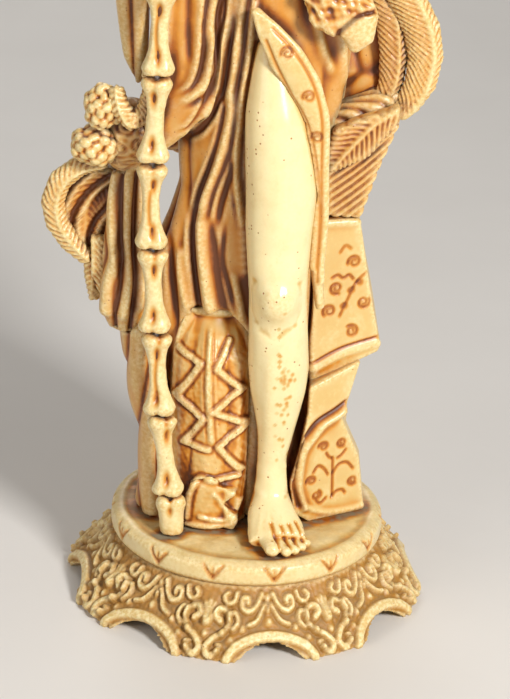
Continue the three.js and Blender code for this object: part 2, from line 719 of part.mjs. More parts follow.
// ---------------------------------------------------------------- belt, gown, bodice and cloak
function fitGown() {
  const belt = [
    [WAIST_H + GAP, 0, TORSO_Y, 12.6, 9.9],
    [WAIST_H + BELT_H / 2, 0, TORSO_Y, 13.4, 10.6],
    [BODICE_H - GAP, 0, TORSO_Y, 12.6, 9.9],
  ];
  fit(robe, "waist_belt", column(belt, 16), IVORY);
  const skirt = column(
    [
      [GROUND, -4, GOWN_Y + 1, 25, 14],
      [lift(24), -4, GOWN_Y + 1, 24, 13.6],
      [lift(50), -4, GOWN_Y + 0.6, 23, 13.2],
      [lift(70), -4, GOWN_Y + 0.4, 22, 13],
      [lift(80), -2.6, GOWN_Y, 19.6, 13],
      [lift(88), -1.4, GOWN_Y, 18.6, 13],
      [lift(98), -1.4, GOWN_Y, 19.6, 13],
      [lift(112), -1.2, GOWN_Y, 20.4, 13],
      [HIP_H, 0, GOWN_Y, 20.6, 13.4],
      [HIP_H + HIP_RISE * 0.44, 0, GOWN_Y, 18.6, 12.6],
      [WAIST_H - 6, 0, TORSO_Y, 14.4, 10.8],
      [WAIST_H, 0, TORSO_Y, 12.2, 9.5],
    ],
    18,
  );
  const swag = plume(
    [
      [-29, -6, 98.6, 3, 2.6],
      [-25.8, -7, 104.4, 5.4, 3.2],
      [-21.6, -7.6, 113, 8, 3.8],
      [-20, -7, 124, 9.4, 4],
      [-19, -5.6, 138, 9.6, 4],
      [-17.4, -4, 150, 8.6, 4],
      [-13.6, -2, 162, 5.6, 3.4],
    ],
    10,
    v3(0.7, 0, -0.7),
  );
  fit(robe, "gown", join(skirt, swag), AMBER);
}

function fitTorso() {
  const beads = new THREE.TorusGeometry(8.6, 1.3, 6, 20).rotateX(0.35).translate(0, 0.4, SHOULDER_H + 3.6);
  fit(lady, "necklace", solid(beads), IVORY);
  const trunk = column(
    [
      [BODICE_H, 0, TORSO_Y, 12, 9.4],
      [BODICE_H + 6, 0, TORSO_Y - 0.4, 12.4, 9.4],
      [SHOULDER_H - 15, 0, TORSO_Y - 1, 14, 10],
      [SHOULDER_H - 8, 0, TORSO_Y - 1, 15, 9.8],
      [SHOULDER_H - 2, 0, TORSO_Y, 15, 8.4],
      [SHOULDER_H + 3, 0, TORSO_Y, 10.6, 6.4],
      [SHOULDER_H + 6.6, 0, TORSO_Y, 6, 5],
    ],
    16,
  );
  const breast = (x) => ball(x, TORSO_Y - 9, SHOULDER_H - 12, 5.4, 4.4, 5.2);
  fit(robe, "bodice", join(trunk, breast(-5.8), breast(5.8)), AMBER);
}

function fitCloak() {
  const cloak = column(
    [
      [GROUND, -1, 17, 26, 7.4],
      [lift(22), -1, 17, 25, 7.4],
      [lift(46), 0, 16.4, 23, 7.2],
      [lift(70), 0.6, 15.8, 19.4, 7],
      [lift(88), 1, 15.4, 18.4, 6.8],
      [lift(112), 1, 15.4, 18.6, 6.8],
      [HIP_H + 12, 0, 14.4, 18, 6.4],
      [WAIST_H + 2, 0, 12.4, 15.6, 5.8],
      [SHOULDER_H - 14, 0, 10.6, 15.2, 5.4],
      [SHOULDER_H, 0, 8.6, 15, 4.8],
      [SHOULDER_H + 5, 0, 7.6, 11, 4],
    ],
    16,
  );
  fit(robe, "cloak_back", cloak, AMBER);
}

// ---------------------------------------------------------------- hair and hat
function fitHat() {
  fit(hat, "hair_bun", ball(0, 15.4, CHIN_H + FACE_RISE / 2, 6.4, 5.4, 6.4), AMBER);
  const rings = [[BRIM_HOLE_R, 0], [BRIM_R * 0.6, -0.8], [BRIM_R * 0.86, 0.6], [BRIM_R, BRIM_CURL]];
  const under = rings.map(([r, rise]) => [r, BRIM_H + rise - BRIM_T / 2]);
  const over = rings.map(([r, rise]) => [r, BRIM_H + rise + BRIM_T / 2]).reverse();
  fit(hat, "hat_brim", turned([...under, ...over, under[0]], 40), AMBER);

  const seat = CROWN_SEAT_H;
  const bandR = CROWN_R + BAND_T;
  const bore = CROWN_R + GAP;
  const bandTop = seat + BAND_H;
  const band = [[bore, seat], [bandR + 0.3, seat], [bandR, bandTop], [bore, bandTop], [bore, seat]];
  fit(hat, "hat_band", turned(band, 24), IVORY);
  const rose = (turn, r) => {
    const angle = THREE.MathUtils.degToRad(turn);
    const out = bandR + r * 0.6;
    return ball(out * Math.sin(angle), -out * Math.cos(angle), seat + r, r, r, r);
  };
  fit(hat, "hat_roses", join(rose(-38, 5.2), rose(-61, 4.8), rose(-16, 4.6)), IVORY);
  fitHatPlumes(bandR, seat);
  const crown = [
    [0, seat],
    [CROWN_R, seat],
    [CROWN_R - 0.4, seat + BAND_H],
    [CROWN_R - 0.8, seat + CROWN_H * 0.5],
    [CROWN_R + 0.6, seat + CROWN_H - 2],
    [CROWN_R - 0.6, seat + CROWN_H],
    [0, seat + CROWN_H - 1.4],
  ];
  fit(hat, "hat_crown", turned(crown, 24), AMBER);
}

// Three plumes rise from the band's left side. Each is drawn outwards from the band's radius.
function fitHatPlumes(bandR, seat) {
  const feather = (name, turn, bend) => {
    const angle = THREE.MathUtils.degToRad(turn);
    const stations = bend.map(([out, aside, rise, wide]) => {
      const r = bandR + out;
      const x = r * Math.sin(angle) + aside * Math.cos(angle);
      const y = -r * Math.cos(angle) + aside * Math.sin(angle);
      return [x, y, seat + rise, wide, 1 + wide * 0.26];
    });
    fit(hat, name, limb(stations, 10, v3(Math.cos(angle), Math.sin(angle), 0)), IVORY);
  };
  const root = [1.6, 0, 3, 1.4];
  feather("hat_plume_1", 58, [root, [6, 0, 14, 4], [5, 3, 27, 5], [-3, 7, 36, 4], [-12, 9, 39, 1.6]]);
  feather("hat_plume_2", 92, [root, [8, 0, 11, 4], [14, 0, 22, 4.8], [15, 0, 33, 4], [9, 0, 38, 1.6]]);
  feather("hat_plume_3", 132, [root, [8, 0, 12, 4], [11, -2, 22, 4.8], [7, -5, 32, 4], [0, -8, 36, 1.6]]);
}

// ---------------------------------------------------------------- fitting order, from the core outwards
fitDowels();
fitBase();
fitLeg();
fitStaff();
fitHands();
fitHead();
fitRobeFront();
fitRightFeathers();
fitLeftFeathers();
fitBoaBack();
fitLeftDrapes();
fitSleeves();
fitGown();
fitTorso();
fitCloak();
fitHat();

export default figure;
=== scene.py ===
import math

import bmesh
import bpy
import numpy as np
from mathutils import Matrix, Vector


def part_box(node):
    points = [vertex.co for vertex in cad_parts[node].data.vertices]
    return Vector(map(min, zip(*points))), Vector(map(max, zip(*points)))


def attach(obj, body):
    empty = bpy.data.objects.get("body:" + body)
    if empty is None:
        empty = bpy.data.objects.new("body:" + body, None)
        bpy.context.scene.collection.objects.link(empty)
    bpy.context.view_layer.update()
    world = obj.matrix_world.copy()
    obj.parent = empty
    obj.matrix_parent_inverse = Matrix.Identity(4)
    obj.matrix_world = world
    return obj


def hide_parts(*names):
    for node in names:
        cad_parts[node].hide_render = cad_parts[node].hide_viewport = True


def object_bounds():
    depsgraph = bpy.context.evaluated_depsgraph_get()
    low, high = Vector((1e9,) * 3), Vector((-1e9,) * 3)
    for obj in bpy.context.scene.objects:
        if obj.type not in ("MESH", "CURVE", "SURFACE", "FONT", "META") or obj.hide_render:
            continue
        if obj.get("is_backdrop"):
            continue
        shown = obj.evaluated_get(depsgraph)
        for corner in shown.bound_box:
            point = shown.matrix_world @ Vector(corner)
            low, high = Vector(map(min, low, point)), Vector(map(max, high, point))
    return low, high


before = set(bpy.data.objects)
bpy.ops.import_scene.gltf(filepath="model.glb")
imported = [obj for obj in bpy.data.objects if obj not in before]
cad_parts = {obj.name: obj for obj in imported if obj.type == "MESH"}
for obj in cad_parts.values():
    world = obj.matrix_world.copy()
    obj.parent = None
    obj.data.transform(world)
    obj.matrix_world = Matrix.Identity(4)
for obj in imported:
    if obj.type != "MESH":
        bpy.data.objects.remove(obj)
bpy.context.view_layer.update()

bl_info = {
    "name": "Cast resin lady figurine",
    "version": (1, 0, 0),
    "blender": (4, 5, 0),
    "location": "3D View > Sidebar > Figurine",
    "description": "Carves, washes and stages the castings of a plumed lady figurine round its fixed frame",
    "category": "Object",
}

MM = 0.001
CARVINGS = {}  # every casting that has been carved, by its node's name


# ------------------------------------------------------------------ sizes and colours that a user may change
class CarvingSizes(bpy.types.PropertyGroup):
    """How finely and how deeply the castings are carved, in millimetres."""

    grain: bpy.props.FloatProperty(
        name="Grain", description="Size of the smallest carved detail, in mm", default=0.46, min=0.25
    )
    fold_depth: bpy.props.FloatProperty(
        name="Fold depth", description="Height of the gown's main folds, in mm", default=1.5
    )
    barb_pitch: bpy.props.FloatProperty(
        name="Barb pitch", description="Distance between two barbs of a feather, in mm", default=1.75
    )
    band_height: bpy.props.FloatProperty(
        name="Band height", description="How far the zigzag bands stand up, in mm", default=0.8
    )
    scroll_height: bpy.props.FloatProperty(
        name="Scroll height", description="How far the plinth's scrolls stand up, in mm", default=0.95
    )


def colour(name, description, default):
    return bpy.props.FloatVectorProperty(
        name=name, description=description, subtype="COLOR", default=default, min=0, max=1
    )


class ResinColours(bpy.types.PropertyGroup):
    """The colours of the cast resin, its antiquing wash, the shade painted where surfaces crowd close, and the dust on
    it.
    """

    ivory: colour("Ivory", "Bare resin where the wash is rubbed off", (0.66, 0.45, 0.16))
    cream: colour("Cream", "The highest crests", (0.84, 0.70, 0.38))
    # Amber, umber and bark are also the painted shade where surfaces crowd close together.
    amber: colour("Amber", "Thin wash on the robes", (0.60, 0.25, 0.030))
    umber: colour("Umber", "Wash lying in folds", (0.34, 0.095, 0.009))
    bark: colour("Bark", "Wash lying in the deepest cuts", (0.115, 0.030, 0.005))
    ochre: colour("Ochre", "Stippled ground of the plinth", (0.44, 0.22, 0.034))
    dust: colour("Dust", "Grey dust on ledges", (0.25, 0.20, 0.12))


class StageSizes(bpy.types.PropertyGroup):
    """Where the camera stands, and its lens."""

    distance: bpy.props.FloatProperty(name="Camera distance", description="Camera to figure", default=0.75, unit="LENGTH")
    elevation: bpy.props.FloatProperty(name="Camera elevation", description="Look down", default=math.radians(24), subtype="ANGLE")
    roll: bpy.props.FloatProperty(name="Camera roll", description="Tilt of the view", default=math.radians(2.7), subtype="ANGLE")
    lens: bpy.props.FloatProperty(name="Lens", description="Focal length in mm", default=151.0)


# ------------------------------------------------------------------ lines and distances, in millimetres
def smooth_line(points, steps=6):
    """The points joined by a smooth curve that passes through each of them."""
    p = np.array(points, float)
    if len(p) < 3:
        return p
    padded = np.vstack([2 * p[0] - p[1], p, 2 * p[-1] - p[-2]])
    t = np.linspace(0, 1, steps, endpoint=False)[:, None]
    spans = [
        0.5 * (2 * b + (c - a) * t + (2 * a - 5 * b + 4 * c - d) * t**2 + (3 * b - a - 3 * c + d) * t**3)
        for a, b, c, d in zip(padded, padded[1:], padded[2:], padded[3:])
    ]
    return np.vstack(spans + [p[-1:]])


def reach(places, line):
    """For each place: how far it is from the line, how far along the line that is, and on which side."""
    best = np.full(len(places), np.inf)
    along = np.zeros(len(places))
    side = np.zeros(len(places))
    start = 0.0
    for a, b in zip(line, line[1:]):
        run = b - a
        length = np.linalg.norm(run)
        if length < 1e-6:
            continue
        share = np.clip((places - a) @ run / length**2, 0, 1)
        gap = places - a - share[:, None] * run
        far = np.linalg.norm(gap, axis=1)
        closer = far < best
        best[closer] = far[closer]
        along[closer] = start + share[closer] * length
        if len(a) == 2:
            side[closer] = (run[0] * gap[closer, 1] - run[1] * gap[closer, 0]) / length
        start += length
    return best, along, side


def ease(value, low, high):
    """0 below low, 1 above high, and a smooth step between."""
    t = np.clip((value - low) / (high - low), 0, 1)
    return t * t * (3 - 2 * t)


def crimp(phase, sharpness=0.7):
    """Round crests and sharp valleys, from 0 to 1, one for each whole number of the phase."""
    return np.abs(np.sin(np.pi * phase)) ** sharpness


def ripple(places, pitch, seed=0):
    """A smooth uneven field from -1 to 1 with features about one pitch across."""
    rng = np.random.default_rng(seed)
    total = np.zeros(len(places))
    for _ in range(6):
        way = rng.normal(size=places.shape[1])
        way *= 2 * np.pi / (pitch * np.linalg.norm(way) * rng.uniform(0.7, 1.5))
        total += np.sin(places @ way + rng.uniform(0, 6.28))
    return total / 3


# ------------------------------------------------------------------ one casting being carved
class Chart:
    """A flat map of a casting's surface, on which lines are drawn in shares of its size."""

    def __init__(self, flat, mask, low=(0, 0), size=(1, 1)):
        self.flat = flat
        self.mask = mask
        self.low = np.array(low)
        self.size = np.array(size)

    def line(self, shares, curved=True):
        line = self.low + np.array(shares, float) * self.size
        return smooth_line(line) if curved else line

    def near(self, line, far):
        """The vertices near a line: which, how far off, how far along, on which side, and how much they face."""
        inside = ((self.flat > line.min(0) - far) & (self.flat < line.max(0) + far)).all(1)
        picked = np.flatnonzero(inside)
        return picked, *reach(self.flat[picked], line), self.mask[picked]


class Carving:
    """A fine working surface that starts as a casting's plain solid."""

    def __init__(self, node, finish, grain=1.0, relax=8, swell=0.2):
        self.node = node
        self.finish = finish
        sizes = bpy.context.scene.carving_sizes
        self.grain = sizes.grain * grain * 1
        self.object = self._remeshed()
        mesh = self.object.data
        self.edges = np.empty(len(mesh.edges) * 2, np.int64)
        mesh.edges.foreach_get("vertices", self.edges)
        self.edges = self.edges.reshape(-1, 2)
        self.places = np.empty(len(mesh.vertices) * 3, np.float32)
        mesh.vertices.foreach_get("co", self.places)
        self.places = self.places.reshape(-1, 3).astype(float) / MM
        low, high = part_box(node)
        self.low = np.array(low) / MM
        self.size = (np.array(high) - np.array(low)) / MM
        self.degree = np.bincount(self.edges.ravel(), minlength=len(self.places)).astype(float)
        self.lift = np.zeros(len(self.places))
        self.rubbed = np.zeros(len(self.places))
        self.stained = np.zeros(len(self.places))
        self.relax(relax)
        self.lift += swell
        self.settle()
        self.front = self.chart()
        CARVINGS[node] = self

    def _remeshed(self):
        """A copy of the node's solid, merged, as an even net of small faces."""
        shape = bmesh.new()
        shape.from_mesh(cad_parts[self.node].data)
        bmesh.ops.remove_doubles(shape, verts=shape.verts, dist=1e-6)
        merged = bpy.data.meshes.new(self.node)
        shape.to_mesh(merged)
        shape.free()
        rough = bpy.data.objects.new("rough", merged)
        bpy.context.scene.collection.objects.link(rough)
        net = rough.modifiers.new("net", "REMESH")
        net.mode = "VOXEL"
        net.voxel_size = self.grain * MM
        fine = bpy.data.meshes.new_from_object(rough.evaluated_get(bpy.context.evaluated_depsgraph_get()))
        bpy.data.objects.remove(rough)
        bpy.data.meshes.remove(merged)
        made = bpy.data.objects.new(self.node + "_carved", fine)
        bpy.context.scene.collection.objects.link(made)
        return made

    def spread(self, values):
        """The mean of each vertex's neighbours."""
        a, b = self.edges.T
        if values.ndim == 1:
            total = np.bincount(a, values[b], len(values)) + np.bincount(b, values[a], len(values))
            return total / self.degree
        return np.stack([self.spread(v) for v in values.T], axis=1)

    def relax(self, rounds, where=None):
        """Smooths the surface. It swells back each time, so that it doesn't shrink."""
        keep = 1.0 if where is None else where[:, None]
        for _ in range(rounds):
            self.places += 0.6 * keep * (self.spread(self.places) - self.places)
            self.places -= 0.612 * 0.5 * keep * (self.spread(self.places) - self.places)
        self._turn()

    def _turn(self):
        """Works out which way each vertex faces."""
        mesh = self.object.data
        mesh.vertices.foreach_set("co", (self.places * MM).astype(np.float32).ravel())
        mesh.update()
        ways = np.empty(len(self.places) * 3, np.float32)
        mesh.vertex_normals.foreach_get("vector", ways)
        self.ways = ways.reshape(-1, 3).astype(float)

    def settle(self):
        """Moves every vertex along its direction by what has been carved so far."""
        self.places += self.ways * self.lift[:, None]
        self.places[:, 2] = np.maximum(self.places[:, 2], self.low[2] - 0.02)
        self.lift[:] = 0
        self._turn()

    # -- measuring
    def chart(self, across=0, up=2, facing=-1):
        """A map of the side that faces along one axis, measured in shares of the casting's box."""
        axes = [across, up]
        toward = self.ways[:, 3 - across - up] * facing
        return Chart(self.places[:, axes], ease(toward, 0.0, 0.35), self.low[axes], self.size[axes])

    def share(self, axis):
        return (self.places[:, axis] - self.low[axis]) / self.size[axis]

    def round_chart(self, turn=0.0, repeats=1, radius=None):
        """A map of a turned casting: distance round it, folded about each repeat, and height."""
        angle = np.arctan2(self.places[:, 0], -self.places[:, 1]) - math.radians(turn)
        step = 2 * np.pi / repeats
        folded = np.abs(np.mod(angle + step / 2, step) - step / 2)
        far = np.hypot(self.places[:, 0], self.places[:, 1]) if radius is None else radius
        outward = (self.places[:, 0] * self.ways[:, 0] + self.places[:, 1] * self.ways[:, 1]) / (
            np.hypot(self.places[:, 0], self.places[:, 1]) + 1e-6
        )
        flat = np.stack([folded * far, self.places[:, 2]], axis=1)
        return Chart(flat, ease(outward, 0.0, 0.3))

    # -- carving
    def ridge(self, shares, width, height, on=None, taper=0.0, rub=0.0, stain=0.0, echo=0.0):
        """A rounded ridge along a line, or a groove if the height is negative, with a fainter echo beside it."""
        chart = on or self.front
        line = chart.line(shares)
        picked, far, along, _, mask = chart.near(line, (4.0 if echo else 2.5) * width)
        total = np.linalg.norm(np.diff(line, axis=0), axis=1).sum()
        ends = ease(along, 0, taper) * ease(total - along, 0, taper) if taper else 1
        amount = np.exp(-((far / width) ** 2)) * ends * mask
        self.lift[picked] += height * amount
        if echo:
            beside = np.exp(-(((far - 2.3 * width) / (0.5 * width)) ** 2)) * ends * mask
            valley = np.exp(-(((far - 1.6 * width) / (0.35 * width)) ** 2)) * ends * mask
            self.lift[picked] += echo * height * (beside - 0.7 * valley)
            self.rubbed[picked] = np.maximum(self.rubbed[picked], 0.5 * rub * beside)
            self.stained[picked] = np.maximum(self.stained[picked], 0.5 * valley)
        self.rubbed[picked] = np.maximum(self.rubbed[picked], rub * amount)
        self.stained[picked] = np.maximum(self.stained[picked], stain * amount)

    def engrave(self, shares, width=0.3, depth=0.36, on=None, stain=0.64):
        """A thin cut that holds the wash."""
        self.ridge(shares, width, -depth, on, stain=stain)

    def band(self, shares, width, height, on=None, soft=0.3, curved=False, rub=0.8, outline=0.8):
        """A flat strip that stands up along a line, rubbed back, with a stained cut on both sides."""
        chart = on or self.front
        line = chart.line(shares, curved)
        picked, far, _, _, mask = chart.near(line, 2 * width + 1)
        amount = ease(width - far, -soft, soft) * mask
        cut = np.exp(-(((far - width - 1.2 * soft) / 0.38) ** 2)) * mask
        self.lift[picked] += height * amount - 0.3 * height * cut
        self.rubbed[picked] = np.maximum(self.rubbed[picked], rub * amount)
        self.stained[picked] = np.maximum(self.stained[picked], outline * cut)

    def medallion(self, centre, radius=1.45, on=None, turn=0.0, gain=1.0):
        """A small engraved snail with a raised middle."""
        chart = on or self.front
        middle = chart.low + np.array(centre) * chart.size
        angles = np.linspace(0.4, 3.1 * np.pi, 36) + turn
        arms = radius * np.linspace(0.25, 1.15, 36)
        ring = middle + np.stack([arms * np.cos(angles), arms * np.sin(angles)], axis=1)
        picked, far, _, _, mask = chart.near(ring, 1.6)
        cut = np.exp(-((far / 0.31) ** 2)) * mask
        self.lift[picked] -= 0.4 * gain * cut
        self.stained[picked] = np.maximum(self.stained[picked], 0.66 * gain * cut)
        boss = np.exp(-((np.linalg.norm(chart.flat[picked] - middle, axis=1) / (0.8 * radius)) ** 2))
        self.lift[picked] += 0.25 * gain * boss * mask

    def knob(self, share, radius, height, squash=(1, 1, 1)):
        """A round swelling about a point of the casting's box, or a dimple where the height is negative."""
        middle = self.low + np.array(share) * self.size
        far = np.linalg.norm((self.places - middle) / np.array(squash), axis=1)
        amount = np.exp(-((far / radius) ** 2))
        self.lift += height * amount
        return amount

    def pit(self, share, radius, depth, squash=(1, 1, 1), stain=0.9):
        """A dimple that holds the wash."""
        amount = self.knob(share, radius, -depth, squash)
        self.stained = np.maximum(self.stained, stain * np.clip(amount * 1.5 - 0.2, 0, 1))

    def barbs(self, shares, pitch, slant, height, on=None, quill=0.7, reach_to=12, rub=0.5, short_side=0):
        """A feather's barbs, slanting away from a quill that follows a line."""
        chart = on or self.front
        line = chart.line(shares)
        picked, far, along, side, mask = chart.near(line, reach_to)
        bend = slant * far + 0.02 * far**2
        phase = (along - bend) / pitch + 0.5 * (side > 0) + 0.12 * ripple(self.places[picked], 3.0, 3)
        wave = crimp(phase)
        spread = ease(far, 0.5 * quill, 1.5 * quill) * np.maximum(mask, 0.35)
        core = np.exp(-((far / quill) ** 2))
        self.lift[picked] += height * (wave - 0.6) * spread + 1.0 * height * core
        cut = spread * ease(0.6 - wave, 0, 0.5)
        if short_side:
            cut *= np.where(side * short_side > 0, 1.3, 0.8)
        self.stained[picked] = np.maximum(self.stained[picked], np.clip(0.8 * cut, 0, 1))
        crest = np.maximum(spread * ease(wave, 0.75, 1.0), core)
        self.rubbed[picked] = np.maximum(self.rubbed[picked], rub * crest)

    def pleats(self, phase, height, sharpness=0.7, where=1.0, stain=0.0):
        """Soft round folds with narrow valleys between them."""
        wave = crimp(phase, sharpness)
        self.lift += height * (wave - 0.55) * where
        if stain:
            self.stained = np.maximum(self.stained, stain * ease(0.5 - wave, 0, 0.5) * where)

    def stipple(self, pitch, height, where=1.0):
        """Small uneven punch marks."""
        self.lift += height * ripple(self.places, pitch, 11) * where

    def knobbly(self, count, height, size=0.95, rub=0.8, where=1.0):
        """Covers a round casting with small beads laid out in spirals."""
        middle = self.low + self.size / 2
        way = (self.places - middle) / self.size
        way /= np.linalg.norm(way, axis=1)[:, None]
        i = np.arange(count) + 0.5
        tall = 1 - 2 * i / count
        turn = np.pi * (1 + 5**0.5) * i
        wide = np.sqrt(1 - tall**2)
        seeds = np.stack([wide * np.cos(turn), wide * np.sin(turn), tall], axis=1)
        nearest = (way @ seeds.T).max(1)
        far = np.arccos(np.clip(nearest, -1, 1)) / np.sqrt(4 * np.pi / count)
        bead = np.clip(1 - (far / (0.62 * size)) ** 2, 0, 1)
        self.lift += height * (bead**0.5 - 0.5) * where
        self.stained = np.maximum(self.stained, 0.8 * ease(0.25 - bead, 0, 0.25) * where)
        self.rubbed = np.maximum(self.rubbed, rub * ease(bead, 0.5, 0.95) * where)

    def round_out(self, sides):
        """Brings the flats of a turned casting with that many sides out to its true radius."""
        angle = np.arctan2(self.places[:, 1], self.places[:, 0])
        half = np.pi / sides
        off = np.mod(angle, 2 * half) - half
        self.places[:, :2] *= (np.cos(off) / np.cos(half))[:, None]
        self._turn()


# ------------------------------------------------------------------ the wash and the painted shade: where the wash gathers, where shade is painted between crowded surfaces, and where the wash is rubbed off
def crowding(carvings):
    """A field that says how crowded the space is round a point: the castings' surfaces, blurred. It is used to paint
    shade where surfaces crowd close, as ambient occlusion would.
    """
    places = np.vstack([c.places for c in carvings])
    low = places.min(0) - 8
    shape = np.ceil((places.max(0) + 8 - low) / 1.0).astype(int)
    cells = np.minimum(((places - low) / 1.0).astype(int), shape - 1)
    grid = np.zeros(shape, np.float32)
    grid[tuple(cells.T)] = 1
    for axis in range(3):
        for width in (3, 3):
            total = np.cumsum(np.pad(grid, [(width, 0) if a == axis else (0, 0) for a in range(3)]), axis=axis)
            grid = np.take(total, range(width, total.shape[axis]), axis) - np.take(total, range(total.shape[axis] - width), axis)
            grid = np.roll(grid, -(width // 2), axis) / width
    return grid, low


def sample(grid, low, places):
    cells = np.clip((places - low).astype(int), 0, np.array(grid.shape) - 1)
    return grid[tuple(cells.T)]


def hollowness(carving):
    """How far each vertex lies below its surroundings, at three scales, in millimetres."""
    scales = []
    mean = carving.places
    for rounds in (3, 9, 24):
        for _ in range(max(1, int(rounds * (0.46 / carving.grain) ** 1.2))):
            mean = carving.spread(mean)
        scales.append(((mean - carving.places) * carving.ways).sum(1))
    return scales


def write_wash_and_shade(carving, grid, low):
    """Stores, for each vertex, how dark it is painted: the antiquing stain held in its hollows and cuts, plus painted
    shade where other surfaces crowd close in front of it, as ambient occlusion would shade it; and how far it is
    rubbed back to bare resin.
    """
    fine, middle, broad = hollowness(carving)
    # Painted shade: the blurred surfaces crowding in front of each vertex darken it, standing in for ambient occlusion
    # between castings and in deep folds.
    painted_occlusion_shade = sum(sample(grid, low, carving.places + carving.ways * step) for step in (2.5, 4.5, 7.0)) / 3
    hollow = 2.2 * np.clip(fine, 0, 1) + 1.5 * np.clip(middle, 0, 1) + 0.8 * np.clip(broad, 0, 1.5)
    # Hollows hold real stain; the crowding term adds painted shade on top of it.
    wash = np.clip(hollow * 0.9 + 1.9 * np.clip(painted_occlusion_shade - 0.08, 0, 1), 0, 1)
    wash = np.clip(np.maximum(wash, carving.stained), 0, 1)
    crest = np.clip(-2.6 * fine - 1.6 * middle - 0.7 * broad, 0, 1)
    crest = np.clip(np.maximum(crest, carving.rubbed) - 0.6 * carving.stained, 0, 1)
    mesh = carving.object.data
    for name, values in (("wash", carving.spread(wash)), ("crest", carving.spread(crest))):
        layer = mesh.attributes.new(name, "FLOAT", "POINT")
        layer.data.foreach_set("value", values.astype(np.float32))
    mesh.polygons.foreach_set("use_smooth", np.ones(len(mesh.polygons), bool))
    mesh.update()


# ------------------------------------------------------------------ materials
class Wire:
    """A number in a material. Arithmetic on it adds the Math nodes."""

    def __init__(self, finish, socket):
        self.finish = finish
        self.socket = socket

    def _math(self, operation, first, second=None, clamp=False):
        return self.finish.number("ShaderNodeMath", dict(operation=operation, use_clamp=clamp), (first, second))

    def __add__(self, other):
        return self._math("ADD", self, other)

    def __sub__(self, other):
        return self._math("SUBTRACT", self, other)

    def __rsub__(self, other):
        return self._math("SUBTRACT", other, self)

    def __mul__(self, other):
        return self._math("MULTIPLY", self, other)

    def __pow__(self, other):
        return self._math("POWER", self, other)

    def clamped(self):
        return self._math("ADD", self, 0.0, clamp=True)

    def above(self, low, high):
        """0 below low, 1 above high."""
        settings = dict(interpolation_type="SMOOTHSTEP")
        return self.finish.number("ShaderNodeMapRange", settings, (self, low, high, 0.0, 1.0))

    __radd__ = __add__
    __rmul__ = __mul__


class Finish:
    """A material under construction."""

    def __init__(self, name):
        self.material = bpy.data.materials.new(name)
        self.material.use_nodes = True
        self.tree = self.material.node_tree
        self.shader = self.tree.nodes["Principled BSDF"]

    def add(self, kind, settings=None, inputs=()):
        """Adds a node. Its settings are set first, then its inputs, by place or by name."""
        node = self.tree.nodes.new(kind)
        for key, value in (settings or {}).items():
            if key == "stops":
                self._stops(node.color_ramp, value)
            else:
                setattr(node, key, value)
        pairs = inputs.items() if isinstance(inputs, dict) else enumerate(inputs)
        for key, value in pairs:
            self.feed(node.inputs[key], value)
        return node

    def feed(self, socket, value):
        if value is None:
            return
        if isinstance(value, Wire):
            value = value.socket
        if isinstance(value, bpy.types.NodeSocket):
            self.tree.links.new(value, socket)
        else:
            socket.default_value = value

    def _stops(self, ramp, stops):
        while len(ramp.elements) < len(stops):
            ramp.elements.new(1.0)
        for element, (place, shade) in zip(ramp.elements, stops):
            element.position = place
            element.color = (*shade, 1.0)

    def number(self, kind, settings=None, inputs=(), output=0):
        return Wire(self, self.add(kind, settings, inputs).outputs[output])

    def attribute(self, name):
        return Wire(self, self.add("ShaderNodeAttribute", dict(attribute_name=name)).outputs["Fac"])

    def mix(self, share, under, over):
        """One colour over another."""
        node = self.add("ShaderNodeMix", dict(data_type="RGBA"))
        self.feed(node.inputs[0], share)
        self.feed(node.inputs[6], (*under, 1.0) if isinstance(under, tuple) else under)
        self.feed(node.inputs[7], (*over, 1.0) if isinstance(over, tuple) else over)
        return node.outputs[2]

    def place(self):
        return self.add("ShaderNodeTexCoord").outputs["Object"]

    def noise(self, size_mm, detail=3.0, roughness=0.55, seed=0.0):
        """An uneven field with features of about that size."""
        where = self.add("ShaderNodeMapping", inputs={"Vector": self.place(), "Location": (seed, seed, seed)})
        inputs = {"Vector": where.outputs[0], "Scale": 1 / (size_mm * MM), "Detail": detail, "Roughness": roughness}
        return Wire(self, self.add("ShaderNodeTexNoise", inputs=inputs).outputs["Fac"])

    def pinholes(self, amount, clump, apart_mm=1.15):
        """Burst air bubbles: a few lone ones, and patches where they crowd together."""
        inputs = {"Vector": self.place(), "Scale": 1 / (apart_mm * MM), "Randomness": 1.0}
        cells = self.add("ShaderNodeTexVoronoi", dict(feature="F1"), inputs)
        far = Wire(self, cells.outputs["Distance"])
        chance = self.number("ShaderNodeSeparateColor", inputs=(cells.outputs["Color"],))
        patch = self.noise(11.0, 2.0, seed=3.1).above(0.50, 0.66)
        shown = (chance + patch * clump).above(0.995 - amount, 1.0 - amount)
        return (1.0 - far.above(0.09, 0.19)) * shown

    def bump(self, height, distance_mm, strength=1.0, under=None):
        inputs = {"Height": height, "Distance": distance_mm * MM, "Strength": strength, "Normal": under}
        return self.add("ShaderNodeBump", inputs=inputs).outputs[0]


def shade(name):
    return tuple(getattr(bpy.context.scene.resin_colours, name))


